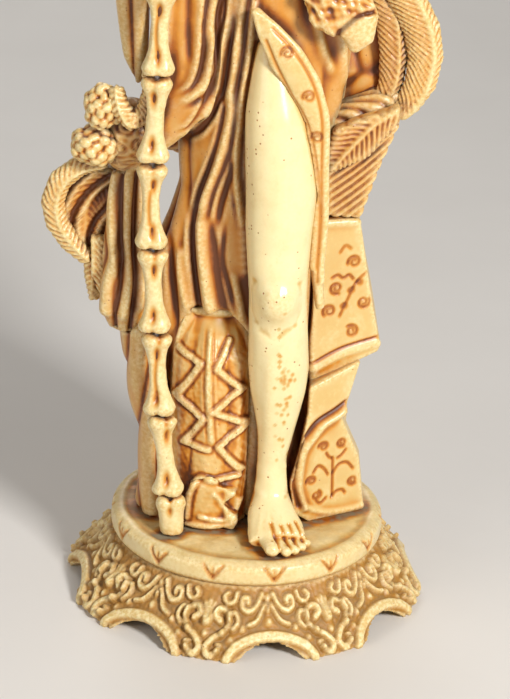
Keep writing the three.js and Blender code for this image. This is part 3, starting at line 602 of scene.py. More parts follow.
def resin(name, body, worn, wash_and_shade_gain=1.0, holes=(0.02, 0.15), gloss=0.3, dusty=0.0, blotch=0.25, ground=None):
    """Cast resin under an antiquing wash: bare on the crests, amber on the faces, brown in the cuts. The same ramp
    also paints shade, amber to brown, where other surfaces crowd close.
    """
    f = Finish(name)
    wash = f.attribute("wash")
    crest = f.attribute("crest")
    uneven = f.noise(5.5, 4.0, seed=1.7) - 0.5
    fine = f.noise(0.9, 3.0, seed=0.4) - 0.5
    # The attribute holds the stain in hollows plus painted shade where surfaces crowd close, so this ramp darkens
    # both.
    level = (wash * wash_and_shade_gain + uneven * blotch + fine * 0.10 + body).clamped()
    stops = [
        (0.0, shade("cream")),
        (0.14, shade("ivory")),
        (0.40, shade("amber")),
        (0.72, shade("umber")),
        (1.0, shade("bark")),
    ]
    ramp = f.add("ShaderNodeValToRGB", dict(stops=stops), (level,))
    skin = ramp.outputs[0]
    if ground:
        skin = f.mix((1.0 - wash * 0.3).clamped() * 0.9, skin, shade(ground))
    bare = (crest * worn + uneven * 0.2 - wash * 0.25).clamped()
    skin = f.mix(bare, skin, f.mix(fine.above(-0.2, 0.2), shade("ivory"), shade("cream")))
    specks = f.pinholes(*holes)
    skin = f.mix(specks * 0.85, skin, shade("umber"))
    rough = gloss + wash * 0.18 + fine * 0.12
    if dusty:
        up = f.add("ShaderNodeSeparateXYZ", inputs=(f.add("ShaderNodeNewGeometry").outputs["Normal"],))
        ledge = Wire(f, up.outputs[2]).above(0.25, 0.85)
        settled = (ledge * (wash * 1.3 + 0.15) * f.noise(3.0, 4.0, seed=5.0).above(0.35, 0.62) * dusty).clamped()
        skin = f.mix(settled, skin, shade("dust"))
        rough = rough + settled * 0.4
    f.feed(f.shader.inputs["Base Color"], skin)
    f.feed(f.shader.inputs["Roughness"], rough.clamped())
    f.shader.inputs["IOR"].default_value = 1.5
    f.shader.inputs["Subsurface Weight"].default_value = 0.12
    f.shader.inputs["Subsurface Radius"].default_value = (1.0, 0.55, 0.25)
    f.shader.inputs["Subsurface Scale"].default_value = 0.0012
    surface = f.bump(f.noise(0.55, 3.0, seed=2.2), 0.05, 0.35)
    f.feed(f.shader.inputs["Normal"], f.bump(1.0 - specks, 0.2, 0.6, surface))
    return f.material


def steel():
    """Drawn steel with faint lengthwise scratches."""
    f = Finish("drawn_steel")
    stretched = f.add("ShaderNodeMapping", inputs={"Vector": f.place(), "Scale": (1.0, 1.0, 0.05)})
    inputs = {"Vector": stretched.outputs[0], "Scale": 4000.0, "Detail": 3.0}
    scratch = Wire(f, f.add("ShaderNodeTexNoise", inputs=inputs).outputs["Fac"])
    f.feed(f.shader.inputs["Base Color"], f.mix(scratch, (0.32, 0.32, 0.33), (0.55, 0.55, 0.56)))
    f.feed(f.shader.inputs["Roughness"], 0.25 + scratch * 0.2)
    f.feed(f.shader.inputs["Normal"], f.bump(scratch, 0.01, 0.4))
    f.shader.inputs["Metallic"].default_value = 1.0
    return f.material


# ------------------------------------------------------------------ the carver's tools in the sidebar
def sizes():
    return bpy.context.scene.carving_sizes


class CarveGroundDisc(bpy.types.Operator):
    """The disc that the figure stands on, with cut V marks round its edge"""

    bl_idname = "figurine.carve_ground_disc"
    bl_label = "Ground disc"

    def execute(self, context):
        c = Carving("ground_disc", "disc", 0.95, relax=4)
        c.round_out(40)
        top = c.low[2] + c.size[2]
        radius = np.hypot(c.places[:, 0], c.places[:, 1])
        c.lift += 0.25 * np.exp(-(((top - 2.6 - c.places[:, 2]) / 2.4) ** 2)) * ease(radius, 33, 35)
        c.settle()
        edge = c.round_chart(turn=180 / 14, repeats=14)
        c.ridge([(0, top - 4.7), (1.0, top - 3.1), (2.5, top - 1.0)], 0.33, -0.6, on=edge, stain=0.62)
        c.ridge([(0, top - 3.9), (0.05, top - 1.5)], 0.28, -0.45, on=edge, stain=0.5)
        c.lift -= 0.5 * ease(radius, 33.2, 31.0) * ease(c.ways[:, 2], 0.5, 0.9)
        c.lift += 0.12 * ripple(c.places, 11, 5) * ease(c.ways[:, 2], 0.5, 0.9)
        c.settle()
        return {"FINISHED"}


class CarvePlinth(bpy.types.Operator):
    """The scalloped plinth: arches with a raised hem, scrolls and palm leaves between them"""

    bl_idname = "figurine.carve_plinth"
    bl_label = "Plinth"

    def execute(self, context):
        c = Carving("plinth_skirt", "plinth", 0.93, relax=3)
        c.round_out(36)
        wall = c.round_chart(turn=10, repeats=8, radius=42.0)
        rise = sizes().scroll_height
        half = math.pi * 42.0 / 8
        hem = [(10.6 * math.cos(t), 5.6 * math.sin(t)) for t in np.linspace(0, math.pi / 2, 9)]
        c.band(hem, 0.95, 0.9 * rise, on=wall, curved=True, rub=0.95)
        scrolls = [
            # the C that turns its back to the arch's middle, with its tab
            ([(1.7, 13.9), (3.0, 11.6), (5.2, 10.2), (7.3, 11.0), (7.2, 12.9), (5.7, 13.0), (5.6, 11.9)], 0.62),
            ([(1.1, 11.6), (2.4, 9.4), (3.6, 8.2), (5.4, 7.6)], 0.5),
            # the S that climbs from the foot between two arches
            ([(half - 3.6, 2.3), (half - 1.9, 1.3), (half - 0.8, 2.9), (half - 2.2, 4.6), (half - 4.4, 5.8)], 0.72),
            ([(half - 4.4, 5.8), (half - 5.9, 7.6), (half - 5.3, 9.9), (half - 3.2, 10.5), (half - 2.3, 9.0),
              (half - 3.6, 8.1)], 0.72),
            ([(half - 3.6, 2.3), (half - 4.3, 3.4), (half - 3.4, 3.6)], 0.5),
            # the tendril over the arch's shoulder
            ([(9.6, 6.7), (8.3, 8.0), (9.0, 9.7), (10.6, 9.5), (10.4, 8.2)], 0.55),
            ([(8.9, 14.0), (9.6, 12.2), (11.4, 11.6), (12.6, 12.9), (11.6, 13.9)], 0.58),
        ]
        for line, width in scrolls:
            c.band(line, width, rise, on=wall, soft=0.26, curved=True, rub=0.95, outline=0.9)
        for lean, long in ((0.0, 4.4), (1.1, 3.9), (2.1, 3.1)):
            leaf = [(half - 0.1 - lean * 0.2, 7.4), (half - 0.2 - lean * 0.8, 9.6), (half - lean * 1.25, 7.4 + long)]
            c.ridge(leaf, 0.6, 0.8 * rise, on=wall, rub=0.8)
        for spot in ((0.0, 8.1), (half, 5.4), (half - 6.9, 4.4), (7.0, 6.9)):
            c.ridge([spot, (spot[0] + 0.05, spot[1] + 0.1)], 0.75, 0.75 * rise, on=wall, rub=0.8)
        for line in ([(0, 13.6), (0.0, 10.2)], [(0.9, 13.4), (0.25, 10.6)]):
            c.ridge(line, 0.5, 0.6 * rise, on=wall, rub=0.7)
        ground = wall.mask * (1 - np.clip(c.rubbed * 1.4, 0, 1))
        c.stipple(0.95, 0.16, ground)
        c.stained = np.maximum(c.stained, 0.5 * ground)
        c.settle()
        return {"FINISHED"}


class CarveLeg(bpy.types.Operator):
    """The bare standing leg and its foot"""

    bl_idname = "figurine.carve_leg"
    bl_label = "Standing leg"

    def execute(self, context):
        c = Carving("standing_leg", "leg", 0.76, relax=3, swell=0.15)
        c.relax(90, where=ease(c.share(2), 0.055, 0.11))
        c.relax(90, where=ease(c.share(2), 0.045, 0.075) * ease(c.share(2), 0.20, 0.15))
        c.relax(24, where=ease(c.share(2), 0.018, 0.03) * ease(c.share(1), 0.44, 0.36))
        c.settle()
        c.knob((0.46, 0.30, 0.515), 4.2, 1.5, (1, 1.4, 1.2))
        c.knob((0.46, 0.30, 0.60), 5.0, -0.5, (1, 1.4, 0.8))
        c.knob((0.44, 0.30, 0.45), 3.4, -0.5, (1.2, 1.4, 0.7))
        c.ridge([(0.18, 0.545), (0.14, 0.50), (0.22, 0.46)], 1.1, -0.35)
        c.ridge([(0.72, 0.545), (0.76, 0.50), (0.70, 0.46)], 1.1, -0.3)
        c.ridge([(0.28, 0.445), (0.46, 0.43), (0.62, 0.45)], 1.5, -0.3)
        c.ridge([(0.40, 0.42), (0.42, 0.30), (0.43, 0.17)], 1.6, 0.4, taper=8)
        c.ridge([(0.28, 0.13), (0.26, 0.108), (0.29, 0.09)], 1.3, 0.45)
        c.ridge([(0.66, 0.135), (0.68, 0.112), (0.66, 0.09)], 1.3, 0.5)
        draws = np.random.default_rng(11)
        for _ in range(46):
            high = 0.30 + 0.075 * draws.normal()
            across = 0.60 + 0.055 * draws.normal()
            wide = 0.15 + 0.09 * draws.random()
            c.ridge([(across, high), (across + 0.002, high + 0.002)], wide, -0.15, stain=0.8)
        top = c.chart(0, 1, 1)
        for start, end in (((0.36, 0.10), (0.40, 0.42)), ((0.53, 0.10), (0.46, 0.42)), ((0.68, 0.14), (0.52, 0.44))):
            c.ridge([start, end], 0.7, 0.18, on=top, taper=3)
        for root, tip in (
            ((0.52, 0.27), (0.636, 0.05)),
            ((0.636, 0.26), (0.766, 0.08)),
            ((0.733, 0.288), (0.85, 0.13)),
            ((0.812, 0.34), (0.92, 0.21)),
        ):
            c.ridge([root, tip], 0.34, -0.5, on=top, stain=0.6)
        for across, forward, high in (
            (0.548, 0.10, 0.036),
            (0.715, 0.105, 0.026),
            (0.812, 0.15, 0.024),
            (0.891, 0.21, 0.022),
            (0.947, 0.285, 0.02),
        ):
            c.pit((across, forward, high), 0.75, 0.25, stain=0.4)
        c.settle()
        return {"FINISHED"}


class CarveStaff(bpy.types.Operator):
    """The staff of bones: knuckled ends, long pits and crumbly joints"""

    bl_idname = "figurine.carve_staff"
    bl_label = "Bone staff"

    def execute(self, context):
        for number in range(1, 10):
            c = Carving(f"staff_bone_{number}", "bone", 0.72, relax=7, swell=0.25)
            c.relax(10)
            rows = ((0.78, 1.0), (0.22, 1.0)) if number > 1 else ((0.72, 0.8),)
            for high, size in rows:
                end = 0.955 if high > 0.5 else 0.045
                for side in (-1, 1):
                    c.knob((0.5 + 0.27 * side, 0.42, end), 1.9, 0.75, (1, 1.3, 1.0))
                c.pit((0.5, 0.28, end), 1.0, 0.6, (0.8, 1.6, 1.2), stain=0.5)
                aside = 0.45 + 0.05 * (number % 3)
                c.pit((aside, 0.16, high), 1.5 * size, 1.0, (0.74, 1.6, 1.6), stain=0.5)
                c.pit((aside, 0.16, high), 0.7 * size, 0.3, (0.72, 1.8, 1.7), stain=0.45)
            if number % 2 and number > 1:
                c.ridge([(0.42, 0.70), (0.40, 0.5), (0.44, 0.3)], 0.55, -0.4, stain=0.5)
            ends = np.abs(c.share(2) - 0.5) * 2
            c.stipple(0.8, 0.16, ease(ends, 0.93, 1.0))
            c.stained = np.maximum(c.stained, 0.9 * ease(ends, 0.95, 1.0))
            c.settle()
        c = Carving("staff_finial", "bone", 0.8, relax=10, swell=0.25)
        c.knobbly(20, 0.7)
        c.settle()
        return {"FINISHED"}


class CarveApron(bpy.types.Operator):
    """The apron panel with its two zigzag bands and the scroll at its foot"""

    bl_idname = "figurine.carve_apron"
    bl_label = "Apron panel"

    def execute(self, context):
        c = Carving("apron_panel", "apron", 0.76, relax=8)
        high = sizes().band_height
        c.pleats(c.share(0) * 2.0 + 0.5 + 0.05 * np.sin(c.share(2) * 9), 0.9, 0.9)
        c.stipple(1.3, 0.07)
        lid = ease(c.share(2), 0.74, 1.0)
        c.lift -= 3.0 * lid * c.front.mask
        c.settle()
        c.relax(40, where=ease(c.share(2), 0.84, 0.95))
        left = [(-0.02, 0.84), (0.35, 0.784), (0.05, 0.618), (0.42, 0.528), (0.16, 0.405), (0.50, 0.383)]
        right = [(0.75, 0.888), (0.57, 0.765), (0.91, 0.664), (0.55, 0.566), (1.0, 0.491), (0.63, 0.395), (0.93, 0.27)]
        for line in (left, right):
            c.band(line, 0.86, 0.85 * high, soft=0.2, rub=0.95, outline=0.5)
        c.ridge([(0.45, 0.96), (0.46, 0.777), (0.47, 0.655), (0.52, 0.475), (0.55, 0.389)], 0.7, 0.9, taper=4, rub=0.7, echo=0.2)
        for spot in ((0.14, 0.70), (0.24, 0.46), (0.78, 0.765), (0.80, 0.57), (0.84, 0.39)):
            c.pit((spot[0], 0.0, spot[1]), 1.5, 0.5, (1.0, 3.0, 1.3), stain=0.4)
        c.band([(0.24, 0.05), (0.27, 0.17), (0.40, 0.245), (0.62, 0.235), (0.90, 0.245)], 0.7, 0.8, curved=True, outline=0.45)
        c.ridge([(0.60, 0.172), (0.67, 0.150), (0.76, 0.102), (0.80, 0.053), (0.68, 0.043), (0.42, 0.060)], 0.6, 0.7, rub=0.7)
        c.ridge([(0.93, 0.116), (0.88, 0.067), (0.79, 0.021), (0.32, 0.019), (0.05, 0.024)], 0.75, 0.7, rub=0.6)
        c.settle()
        return {"FINISHED"}


class CarveGown(bpy.types.Operator):
    """The gown's long folds, falling from the hip past the knee"""

    bl_idname = "figurine.carve_gown"
    bl_label = "Gown"

    def execute(self, context):
        c = Carving("gown", "robe", 1.2, relax=10)
        c.relax(14)
        deep = sizes().fold_depth
        angle = np.arctan2(c.places[:, 0] + 4, -(c.places[:, 1] - 3))
        side = ease(np.abs(angle), 0.9, 1.5)
        sway = 0.25 * np.sin(c.places[:, 2] / 21.0) + 0.1 * ripple(c.places, 40, 4)
        c.pleats(angle * 2.6 + sway, 1.3 * deep, 0.8, where=side, stain=0.4)
        c.settle()
        for line in (
            [(0.42, 0.90), (0.42, 0.846), (0.41, 0.813), (0.38, 0.778), (0.36, 0.742), (0.35, 0.703), (0.31, 0.669),
             (0.25, 0.639), (0.17, 0.63)],
            [(0.36, 0.90), (0.32, 0.819), (0.32, 0.771), (0.31, 0.733), (0.26, 0.706), (0.17, 0.688)],
            [(0.48, 0.90), (0.45, 0.815), (0.44, 0.758), (0.43, 0.712), (0.43, 0.671), (0.41, 0.63), (0.38, 0.591),
             (0.33, 0.542), (0.30, 0.49)],
        ):
            c.ridge(line, 1.15, deep, rub=0.85, taper=5, echo=0.35)
        c.ridge([(0.53, 0.86), (0.51, 0.795), (0.48, 0.714), (0.47, 0.644), (0.47, 0.574), (0.51, 0.489)], 0.8, deep, rub=0.95, taper=5, echo=0.3)
        c.ridge([(0.31, 0.51), (0.31, 0.457), (0.34, 0.397), (0.38, 0.335), (0.42, 0.299), (0.45, 0.27)], 1.6, 1.1 * deep, rub=0.95, taper=5, echo=0.25)
        c.ridge([(0.21, 0.45), (0.21, 0.421), (0.23, 0.38), (0.27, 0.326), (0.31, 0.27)], 1.0, 0.8 * deep, rub=0.5, taper=3)
        c.ridge([(0.47, 0.421), (0.5, 0.383), (0.54, 0.327)], 0.9, 0.7 * deep, rub=0.4, taper=3)
        c.ridge([(0.209, 0.90), (0.215, 0.80), (0.231, 0.745)], 0.7, -0.5, taper=4, stain=0.55)
        c.ridge([(0.26, 0.90), (0.265, 0.82), (0.25, 0.74), (0.19, 0.70)], 0.9, 0.5 * deep, taper=4, rub=0.3)
        c.ridge([(0.12, 0.86), (0.11, 0.76), (0.10, 0.68)], 1.0, 0.4 * deep, taper=4)
        c.ridge([(0.78, 0.86), (0.83, 0.80), (0.91, 0.727)], 1.0, 0.7 * deep, taper=4, rub=0.4)
        c.ridge([(0.88, 0.88), (0.93, 0.80), (0.97, 0.70)], 1.0, 0.5 * deep, taper=4)
        bead = np.linspace(0.56, 0.42, 12)
        for high in bead:
            across = 0.486 + 0.045 * (0.56 - high) / 0.14
            c.ridge([(across, high), (across + 0.002, high + 0.001)], 0.55, 0.5, rub=0.6)
        grooves = (
            ([(0.31, 0.811), (0.29, 0.76), (0.25, 0.724), (0.19, 0.707)], 0.8, 0.8),
            ([(0.38, 0.88), (0.35, 0.829), (0.35, 0.761), (0.34, 0.713), (0.28, 0.691), (0.20, 0.677)], 0.8, 1.0),
            ([(0.44, 0.86), (0.42, 0.773), (0.40, 0.72), (0.34, 0.67), (0.28, 0.64), (0.17, 0.602)], 0.85, 1.1),
            ([(0.50, 0.83), (0.48, 0.765), (0.45, 0.708), (0.43, 0.676)], 0.7, 1.0),
            ([(0.37, 0.63), (0.35, 0.603), (0.31, 0.552), (0.27, 0.503), (0.25, 0.46)], 0.8, 1.1),
            ([(0.45, 0.62), (0.44, 0.578), (0.40, 0.524), (0.38, 0.47)], 0.75, 1.1),
            ([(0.26, 0.52), (0.27, 0.454), (0.29, 0.394), (0.33, 0.316), (0.36, 0.247)], 0.95, 1.5),
            ([(0.37, 0.507), (0.38, 0.461), (0.41, 0.40), (0.46, 0.337), (0.50, 0.304)], 0.75, 1.2),
            ([(0.43, 0.515), (0.42, 0.439), (0.46, 0.391), (0.50, 0.34)], 0.6, 0.9),
            ([(0.16, 0.48), (0.17, 0.398), (0.20, 0.328), (0.21, 0.27)], 0.8, 1.0),
        )
        for line, width, depth in grooves:
            c.ridge(line, width, -depth, taper=9, stain=0.66)
        c.settle()
        c.relax(2)
        return {"FINISHED"}


class CarveLapel(bpy.types.Operator):
    """The long lapel beside the leg with its medallions, and the beaded sash"""

    bl_idname = "figurine.carve_lapel"
    bl_label = "Lapel and sash"

    def execute(self, context):
        c = Carving("front_lapel", "cloak", 0.74, relax=10)
        c.relax(10)
        lower = [(0.03, 0.985), (0.115, 0.907), (0.257, 0.823), (0.426, 0.74), (0.638, 0.638), (0.77, 0.484),
                 (0.826, 0.317), (0.82, 0.15)]
        upper = [(0.03, 0.99), (0.294, 0.945), (0.548, 0.877), (0.774, 0.781), (0.902, 0.661), (0.93, 0.484),
                 (0.963, 0.317), (0.95, 0.10)]
        for line, aside in ((lower, 0.055), (upper, -0.055)):
            c.ridge(line, 0.6, 0.6, rub=0.8)
            c.ridge([(x + aside, y) for x, y in line[1:]], 0.34, -0.3, stain=0.42)
        for place in ((0.415, 0.873), (0.685, 0.736), (0.80, 0.60)):
            c.medallion(place, 1.45)
        c.knob((0.93, 0.2, 0.012), 1.1, 0.6)
        c.settle()
        c = Carving("sash_tail", "robe", 0.74, relax=24)
        lobe = ease(c.share(0), 0.48, 0.58) * ease(c.share(2), 0.46, 0.38)
        c.stipple(2.1, 0.3, 1 - lobe)
        c.lift += 0.5 * ripple(c.places, 6.0, 9) * (1 - lobe)
        c.rubbed = np.maximum(c.rubbed, 0.9 * lobe)
        c.ridge([(0.50, 0.16), (0.54, 0.25), (0.757, 0.43), (0.95, 0.47)], 0.6, -0.7, stain=0.8)
        c.ridge([(0.05, 0.62), (0.30, 0.42), (0.52, 0.12)], 0.6, 0.5, rub=0.4)
        c.settle()
        return {"FINISHED"}


class CarveCloakFolds(bpy.types.Operator):
    """The cloak's two side folds with engraved snails, curls and rolled hems"""

    bl_idname = "figurine.carve_cloak_folds"
    bl_label = "Cloak folds"

    def execute(self, context):
        c = Carving("cloak_upper_fold", "cloak", 0.78, relax=8)
        for turn, place in enumerate(((0.56, 0.735), (0.33, 0.578), (0.73, 0.475), (0.58, 0.301), (0.25, 0.438))):
            c.medallion(place, 1.5, turn=turn * 1.7)
        c.engrave([(0.26, 0.644), (0.34, 0.66), (0.42, 0.638), (0.50, 0.655), (0.57, 0.624)])
        c.engrave([(0.74, 0.657), (0.66, 0.63), (0.59, 0.592), (0.50, 0.50), (0.40, 0.40)], 0.3, 0.3)
        for place in ((0.66, 0.60), (0.55, 0.555), (0.46, 0.46)):
            c.medallion(place, 0.7, gain=0.8)
        c.engrave([(0.35, 0.80), (0.42, 0.84), (0.50, 0.82)], 0.3, 0.25, stain=0.5)
        hem = [(0.03, 0.083), (0.45, 0.165), (0.97, 0.215)]
        c.engrave([(x, y + 0.035) for x, y in hem], 0.36, 0.45)
        c.ridge([(x, y - 0.01) for x, y in hem], 0.9, 0.45, rub=0.5)
        c.ridge([(0.05, 0.98), (0.5, 0.975), (0.95, 0.97)], 0.8, 0.3, rub=0.4)
        c.lift += 0.4 * ripple(c.places, 26, 2)
        c.settle()
        c = Carving("cloak_lower_fold", "cloak", 0.78, relax=8)
        edge = [(0.75, 0.72), (0.61, 0.68), (0.41, 0.634), (0.29, 0.571), (0.16, 0.483), (0.12, 0.377), (0.12, 0.233), (0.2, 0.1)]
        c.ridge(edge, 0.9, 0.9, rub=0.8)
        c.ridge([(x - 0.07, y + 0.03) for x, y in edge], 0.8, -0.9, stain=0.7)
        for turn, place in enumerate(((0.28, 0.275), (0.83, 0.218), (0.36, 0.168), (0.42, 0.489), (0.66, 0.49))):
            c.medallion(place, 1.15, turn=turn * 2.0)
        for line in (
            [(0.30, 0.324), (0.36, 0.365), (0.44, 0.34), (0.50, 0.293)],
            [(0.56, 0.292), (0.63, 0.345), (0.74, 0.35), (0.83, 0.30)],
            [(0.56, 0.132), (0.62, 0.168), (0.70, 0.17), (0.74, 0.145)],
            [(0.36, 0.13), (0.42, 0.11), (0.49, 0.14)],
            [(0.55, 0.399), (0.56, 0.27), (0.57, 0.139)],
            [(0.46, 0.441), (0.50, 0.41), (0.54, 0.399)],
            [(0.72, 0.439), (0.66, 0.405), (0.61, 0.392)],
        ):
            c.engrave(line)
        hem = [(0.07, 0.282), (0.12, 0.17), (0.22, 0.11), (0.45, 0.049), (0.71, 0.028), (0.98, 0.031)]
        c.ridge(hem, 0.8, 0.45, rub=0.5)
        c.settle()
        return {"FINISHED"}


class CarveRightPlumes(bpy.types.Operator):
    """The feathers of the boa at the figure's left hip"""

    bl_idname = "figurine.carve_right_plumes"
    bl_label = "Right plumes"

    def execute(self, context):
        pitch = sizes().barb_pitch
        c = Carving("right_plume_outer", "plume", 0.74, relax=10, swell=0.45)
        quill = [(0.52, -0.02), (0.70, 0.06), (0.84, 0.19), (0.90, 0.36), (0.83, 0.53), (0.66, 0.69), (0.43, 0.85), (0.16, 1.02)]
        c.barbs(quill, pitch, 1.15, 0.62, quill=0.75, rub=0.8, short_side=-1)
        c.settle()
        c = Carving("right_plume_inner", "feather", 0.74, relax=10, swell=0.45)
        quill = [(0.66, -0.02), (0.83, 0.15), (0.86, 0.33), (0.77, 0.57), (0.55, 0.79), (0.2, 1.02)]
        c.barbs(quill, pitch, 1.1, 0.62, quill=0.5, rub=0.3)
        c.settle()
        c = Carving("right_leaf_plume", "feather", 0.72, relax=10, swell=0.4)
        c.barbs([(1.0, 1.02), (0.68, 0.797), (0.44, 0.533), (0.18, 0.2), (0.05, 0.02)], pitch, 0.9, 0.62, quill=0.62, rub=0.6)
        c.settle()
        c = Carving("right_tail_plume", "feather", 0.72, relax=10, swell=0.35)
        flat = c.front.flat
        c.pleats((flat[:, 1] - 0.86 * flat[:, 0] + 0.3 * np.sin(flat[:, 0] / 3)) / (1.25 * pitch), 0.6, 0.7, stain=0.7)
        c.rubbed = np.maximum(c.rubbed, 0.35)
        c.settle()
        return {"FINISHED"}


class CarveLeftPlumes(bpy.types.Operator):
    """The feathers that curl out beside the staff"""

    bl_idname = "figurine.carve_left_plumes"
    bl_label = "Left plumes"

    def execute(self, context):
        pitch = sizes().barb_pitch
        c = Carving("left_plume_curl", "plume", 0.72, relax=10, swell=0.45)
        quill = [(0.80, 0.02), (0.53, 0.17), (0.30, 0.35), (0.24, 0.56), (0.35, 0.73), (0.62, 0.86), (1.0, 0.91)]
        c.barbs(quill, 0.9 * pitch, 0.9, 0.6, quill=0.5, rub=0.8)
        c.settle()
        c = Carving("left_plume_fan", "feather", 0.74, relax=10, swell=0.4)
        for line in (
            [(0.95, 0.95), (0.55, 0.72), (0.30, 0.42), (0.28, 0.12)],
            [(1.0, 0.62), (0.72, 0.40), (0.60, 0.18), (0.62, 0.02)],
            [(0.6, 1.0), (0.25, 0.78), (0.05, 0.5)],
        ):
            c.ridge(line, 0.9, 0.9, rub=0.4)
            c.ridge([(x - 0.14, y - 0.02) for x, y in line], 0.6, -0.8, stain=0.8)
        c.barbs([(0.95, 0.95), (0.45, 0.6), (0.38, 0.05)], pitch, 0.8, 0.35, rub=0.3)
        c.settle()
        c = Carving("left_plume_tips", "plume", 0.72, relax=10, swell=0.4)
        c.barbs([(0.30, 1.0), (0.34, 0.6), (0.28, 0.0)], pitch, 1.0, 0.55, quill=0.4, rub=0.6)
        c.settle()
        return {"FINISHED"}


class CarveMarigolds(bpy.types.Operator):
    """Two marigolds and the scaled curl above them"""

    bl_idname = "figurine.carve_marigolds"
    bl_label = "Marigolds"

    def execute(self, context):
        for name in ("upper_marigold", "lower_marigold"):
            c = Carving(name, "plume", 0.7, relax=10, swell=0.4)
            c.lift += 0.5 * ripple(c.places, 5.0, 12)
            c.settle()
            c.knobbly(54, 0.9)
            c.settle()
        c = Carving("scaled_curl", "plume", 0.7, relax=10, swell=0.4)
        curl = [(0.14, 0.85), (0.16, 0.5), (0.40, 0.12), (0.75, 0.2), (0.9, 0.55), (0.8, 0.95)]
        c.barbs(curl, 1.4, 0.5, 0.55, quill=0.4, rub=0.7)
        c.settle()
        return {"FINISHED"}


class CarveDrapes(bpy.types.Operator):
    """The drapes that hang at the staff's side"""

    bl_idname = "figurine.carve_drapes"
    bl_label = "Side drapes"

    def execute(self, context):
        c = Carving("side_drape", "robe", 0.8, relax=12, swell=0.3)
        for line in (
            [(0.26, 0.98), (0.22, 0.828), (0.24, 0.588), (0.30, 0.444), (0.16, 0.281), (0.12, 0.06)],
            [(0.56, 0.98), (0.52, 0.803), (0.55, 0.502), (0.61, 0.298), (0.52, 0.06)],
            [(0.86, 0.9), (0.82, 0.6), (0.88, 0.3), (0.82, 0.1)],
        ):
            c.ridge(line, 1.25, 1.3, rub=0.9, taper=3, echo=0.3)
        c.ridge([(0.42, 0.95), (0.44, 0.82), (0.45, 0.60), (0.49, 0.401), (0.34, 0.142), (0.33, 0.0)], 0.8, -1.2, stain=0.68)
        c.ridge([(0.72, 0.95), (0.70, 0.6), (0.76, 0.3), (0.68, 0.0)], 0.7, -1.0, stain=0.68)
        c.settle()
        c = Carving("under_drape", "robe", 1.0, relax=12, swell=0.2)
        c.pleats(c.share(0) * 2.4 + 0.3 * np.sin(c.share(2) * 5), 1.3, 0.8, stain=0.5)
        c.settle()
        c = Carving("sleeve_tail", "robe", 0.9, relax=12, swell=0.2)
        c.pleats(c.share(0) * 2.6 + 0.5 * c.share(2), 1.2, 0.8, stain=0.6)
        c.settle()
        return {"FINISHED"}


class CarveBoa(bpy.types.Operator):
    """The boa across the back, and its knot"""

    bl_idname = "figurine.carve_boa"
    bl_label = "Feather boa"

    def execute(self, context):
        c = Carving("boa_back", "feather", 1.1, relax=10, swell=0.4)
        angle = np.arctan2(c.places[:, 0], c.places[:, 1] - 4)
        lean = (c.share(2) - 0.5) * 2
        c.pleats(angle * 13 + np.abs(lean) * 1.6, 0.9, 0.7, stain=0.7)
        c.lift += 0.8 * np.exp(-((lean / 0.12) ** 2))
        c.settle()
        c = Carving("boa_knot", "feather", 0.8, relax=10, swell=0.3)
        c.lift += 0.55 * crimp(ripple(c.places, 5.5, 8) * 1.1) - 0.3
        c.stained = np.maximum(c.stained, 0.75 * ease(0.35 - crimp(ripple(c.places, 5.5, 8) * 1.1), 0, 0.35))
        c.settle()
        return {"FINISHED"}


class CarveTorso(bpy.types.Operator):
    """The bodice, the belt and the two draped sleeves"""

    bl_idname = "figurine.carve_torso"
    bl_label = "Bodice and sleeves"

    def execute(self, context):
        c = Carving("bodice", "robe", 1.0, relax=14)
        for side in (0.30, 0.70):
            c.knob((side, 0.05, 0.56), 5.0, 1.1, (1.0, 1.6, 1.0))
        for line in (
            [(0.16, 0.98), (0.34, 0.62), (0.50, 0.34), (0.62, 0.05)],
            [(0.84, 0.98), (0.66, 0.62), (0.50, 0.34), (0.38, 0.05)],
        ):
            c.ridge(line, 0.8, 0.6, rub=0.6)
            c.ridge([(x, y - 0.055) for x, y in line], 0.5, -0.5, stain=0.7)
        back = c.chart(0, 2, 1)
        for across in np.linspace(0.12, 0.88, 7):
            c.ridge([(across, 0.0), (0.5 + (across - 0.5) * 0.7, 0.5), (across, 0.95)], 0.7, -0.5, on=back, stain=0.6)
        for row in range(4):
            high = 0.12 + row * 0.11
            c.engrave([(0.30 + row * 0.02, high), (0.5, high - 0.035), (0.70 - row * 0.02, high)])
        c.settle()
        c = Carving("waist_belt", "bone", 0.8, relax=4)
        angle = np.arctan2(c.places[:, 0], -(c.places[:, 1] - 2))
        c.pleats(angle * 30 / np.pi / 2 + 0.5, 0.6, 0.6, stain=0.6)
        c.settle()
        for name, out in (("right_sleeve", -1), ("left_sleeve", 1)):
            c = Carving(name, "robe", 1.0, relax=14)
            slope = c.share(0) * out
            c.pleats(c.share(2) * 4.5 - slope * 2.6 + 0.12 * ripple(c.places, 14, 6), 1.2, 0.8, stain=0.6)
            c.settle()
        return {"FINISHED"}


class CarveCloak(bpy.types.Operator):
    """The long cloak down the back"""

    bl_idname = "figurine.carve_cloak"
    bl_label = "Cloak"

    def execute(self, context):
        c = Carving("cloak_back", "robe", 1.3, relax=12)
        angle = np.arctan2(c.places[:, 0], c.places[:, 1] + 12)
        fall = c.share(2)
        drift = 0.40 * ripple(c.places, 46, 3) + 0.22 * np.sin(fall * 7)
        fuller = 0.35 + 0.65 * ease(fall, 1.0, 0.6)
        c.pleats(angle * 3.8 + 0.5 + drift, 2.0, 0.55, where=fuller, stain=0.25)
        c.lift += 0.5 * ripple(c.places, 24, 8)
        c.settle()
        back = c.chart(0, 2, 1)
        hem = [(0.02, 0.045), (0.25, 0.03), (0.5, 0.045), (0.75, 0.03), (0.98, 0.045)]
        c.ridge(hem, 1.0, 0.7, on=back, rub=0.7)
        c.ridge([(x, y + 0.022) for x, y in hem], 0.5, -0.6, on=back, stain=0.7)
        for place in ((0.14, 0.10), (0.32, 0.085), (0.5, 0.10), (0.68, 0.085), (0.86, 0.10)):
            c.medallion(place, 2.2, on=back)
        c.settle()
        return {"FINISHED"}


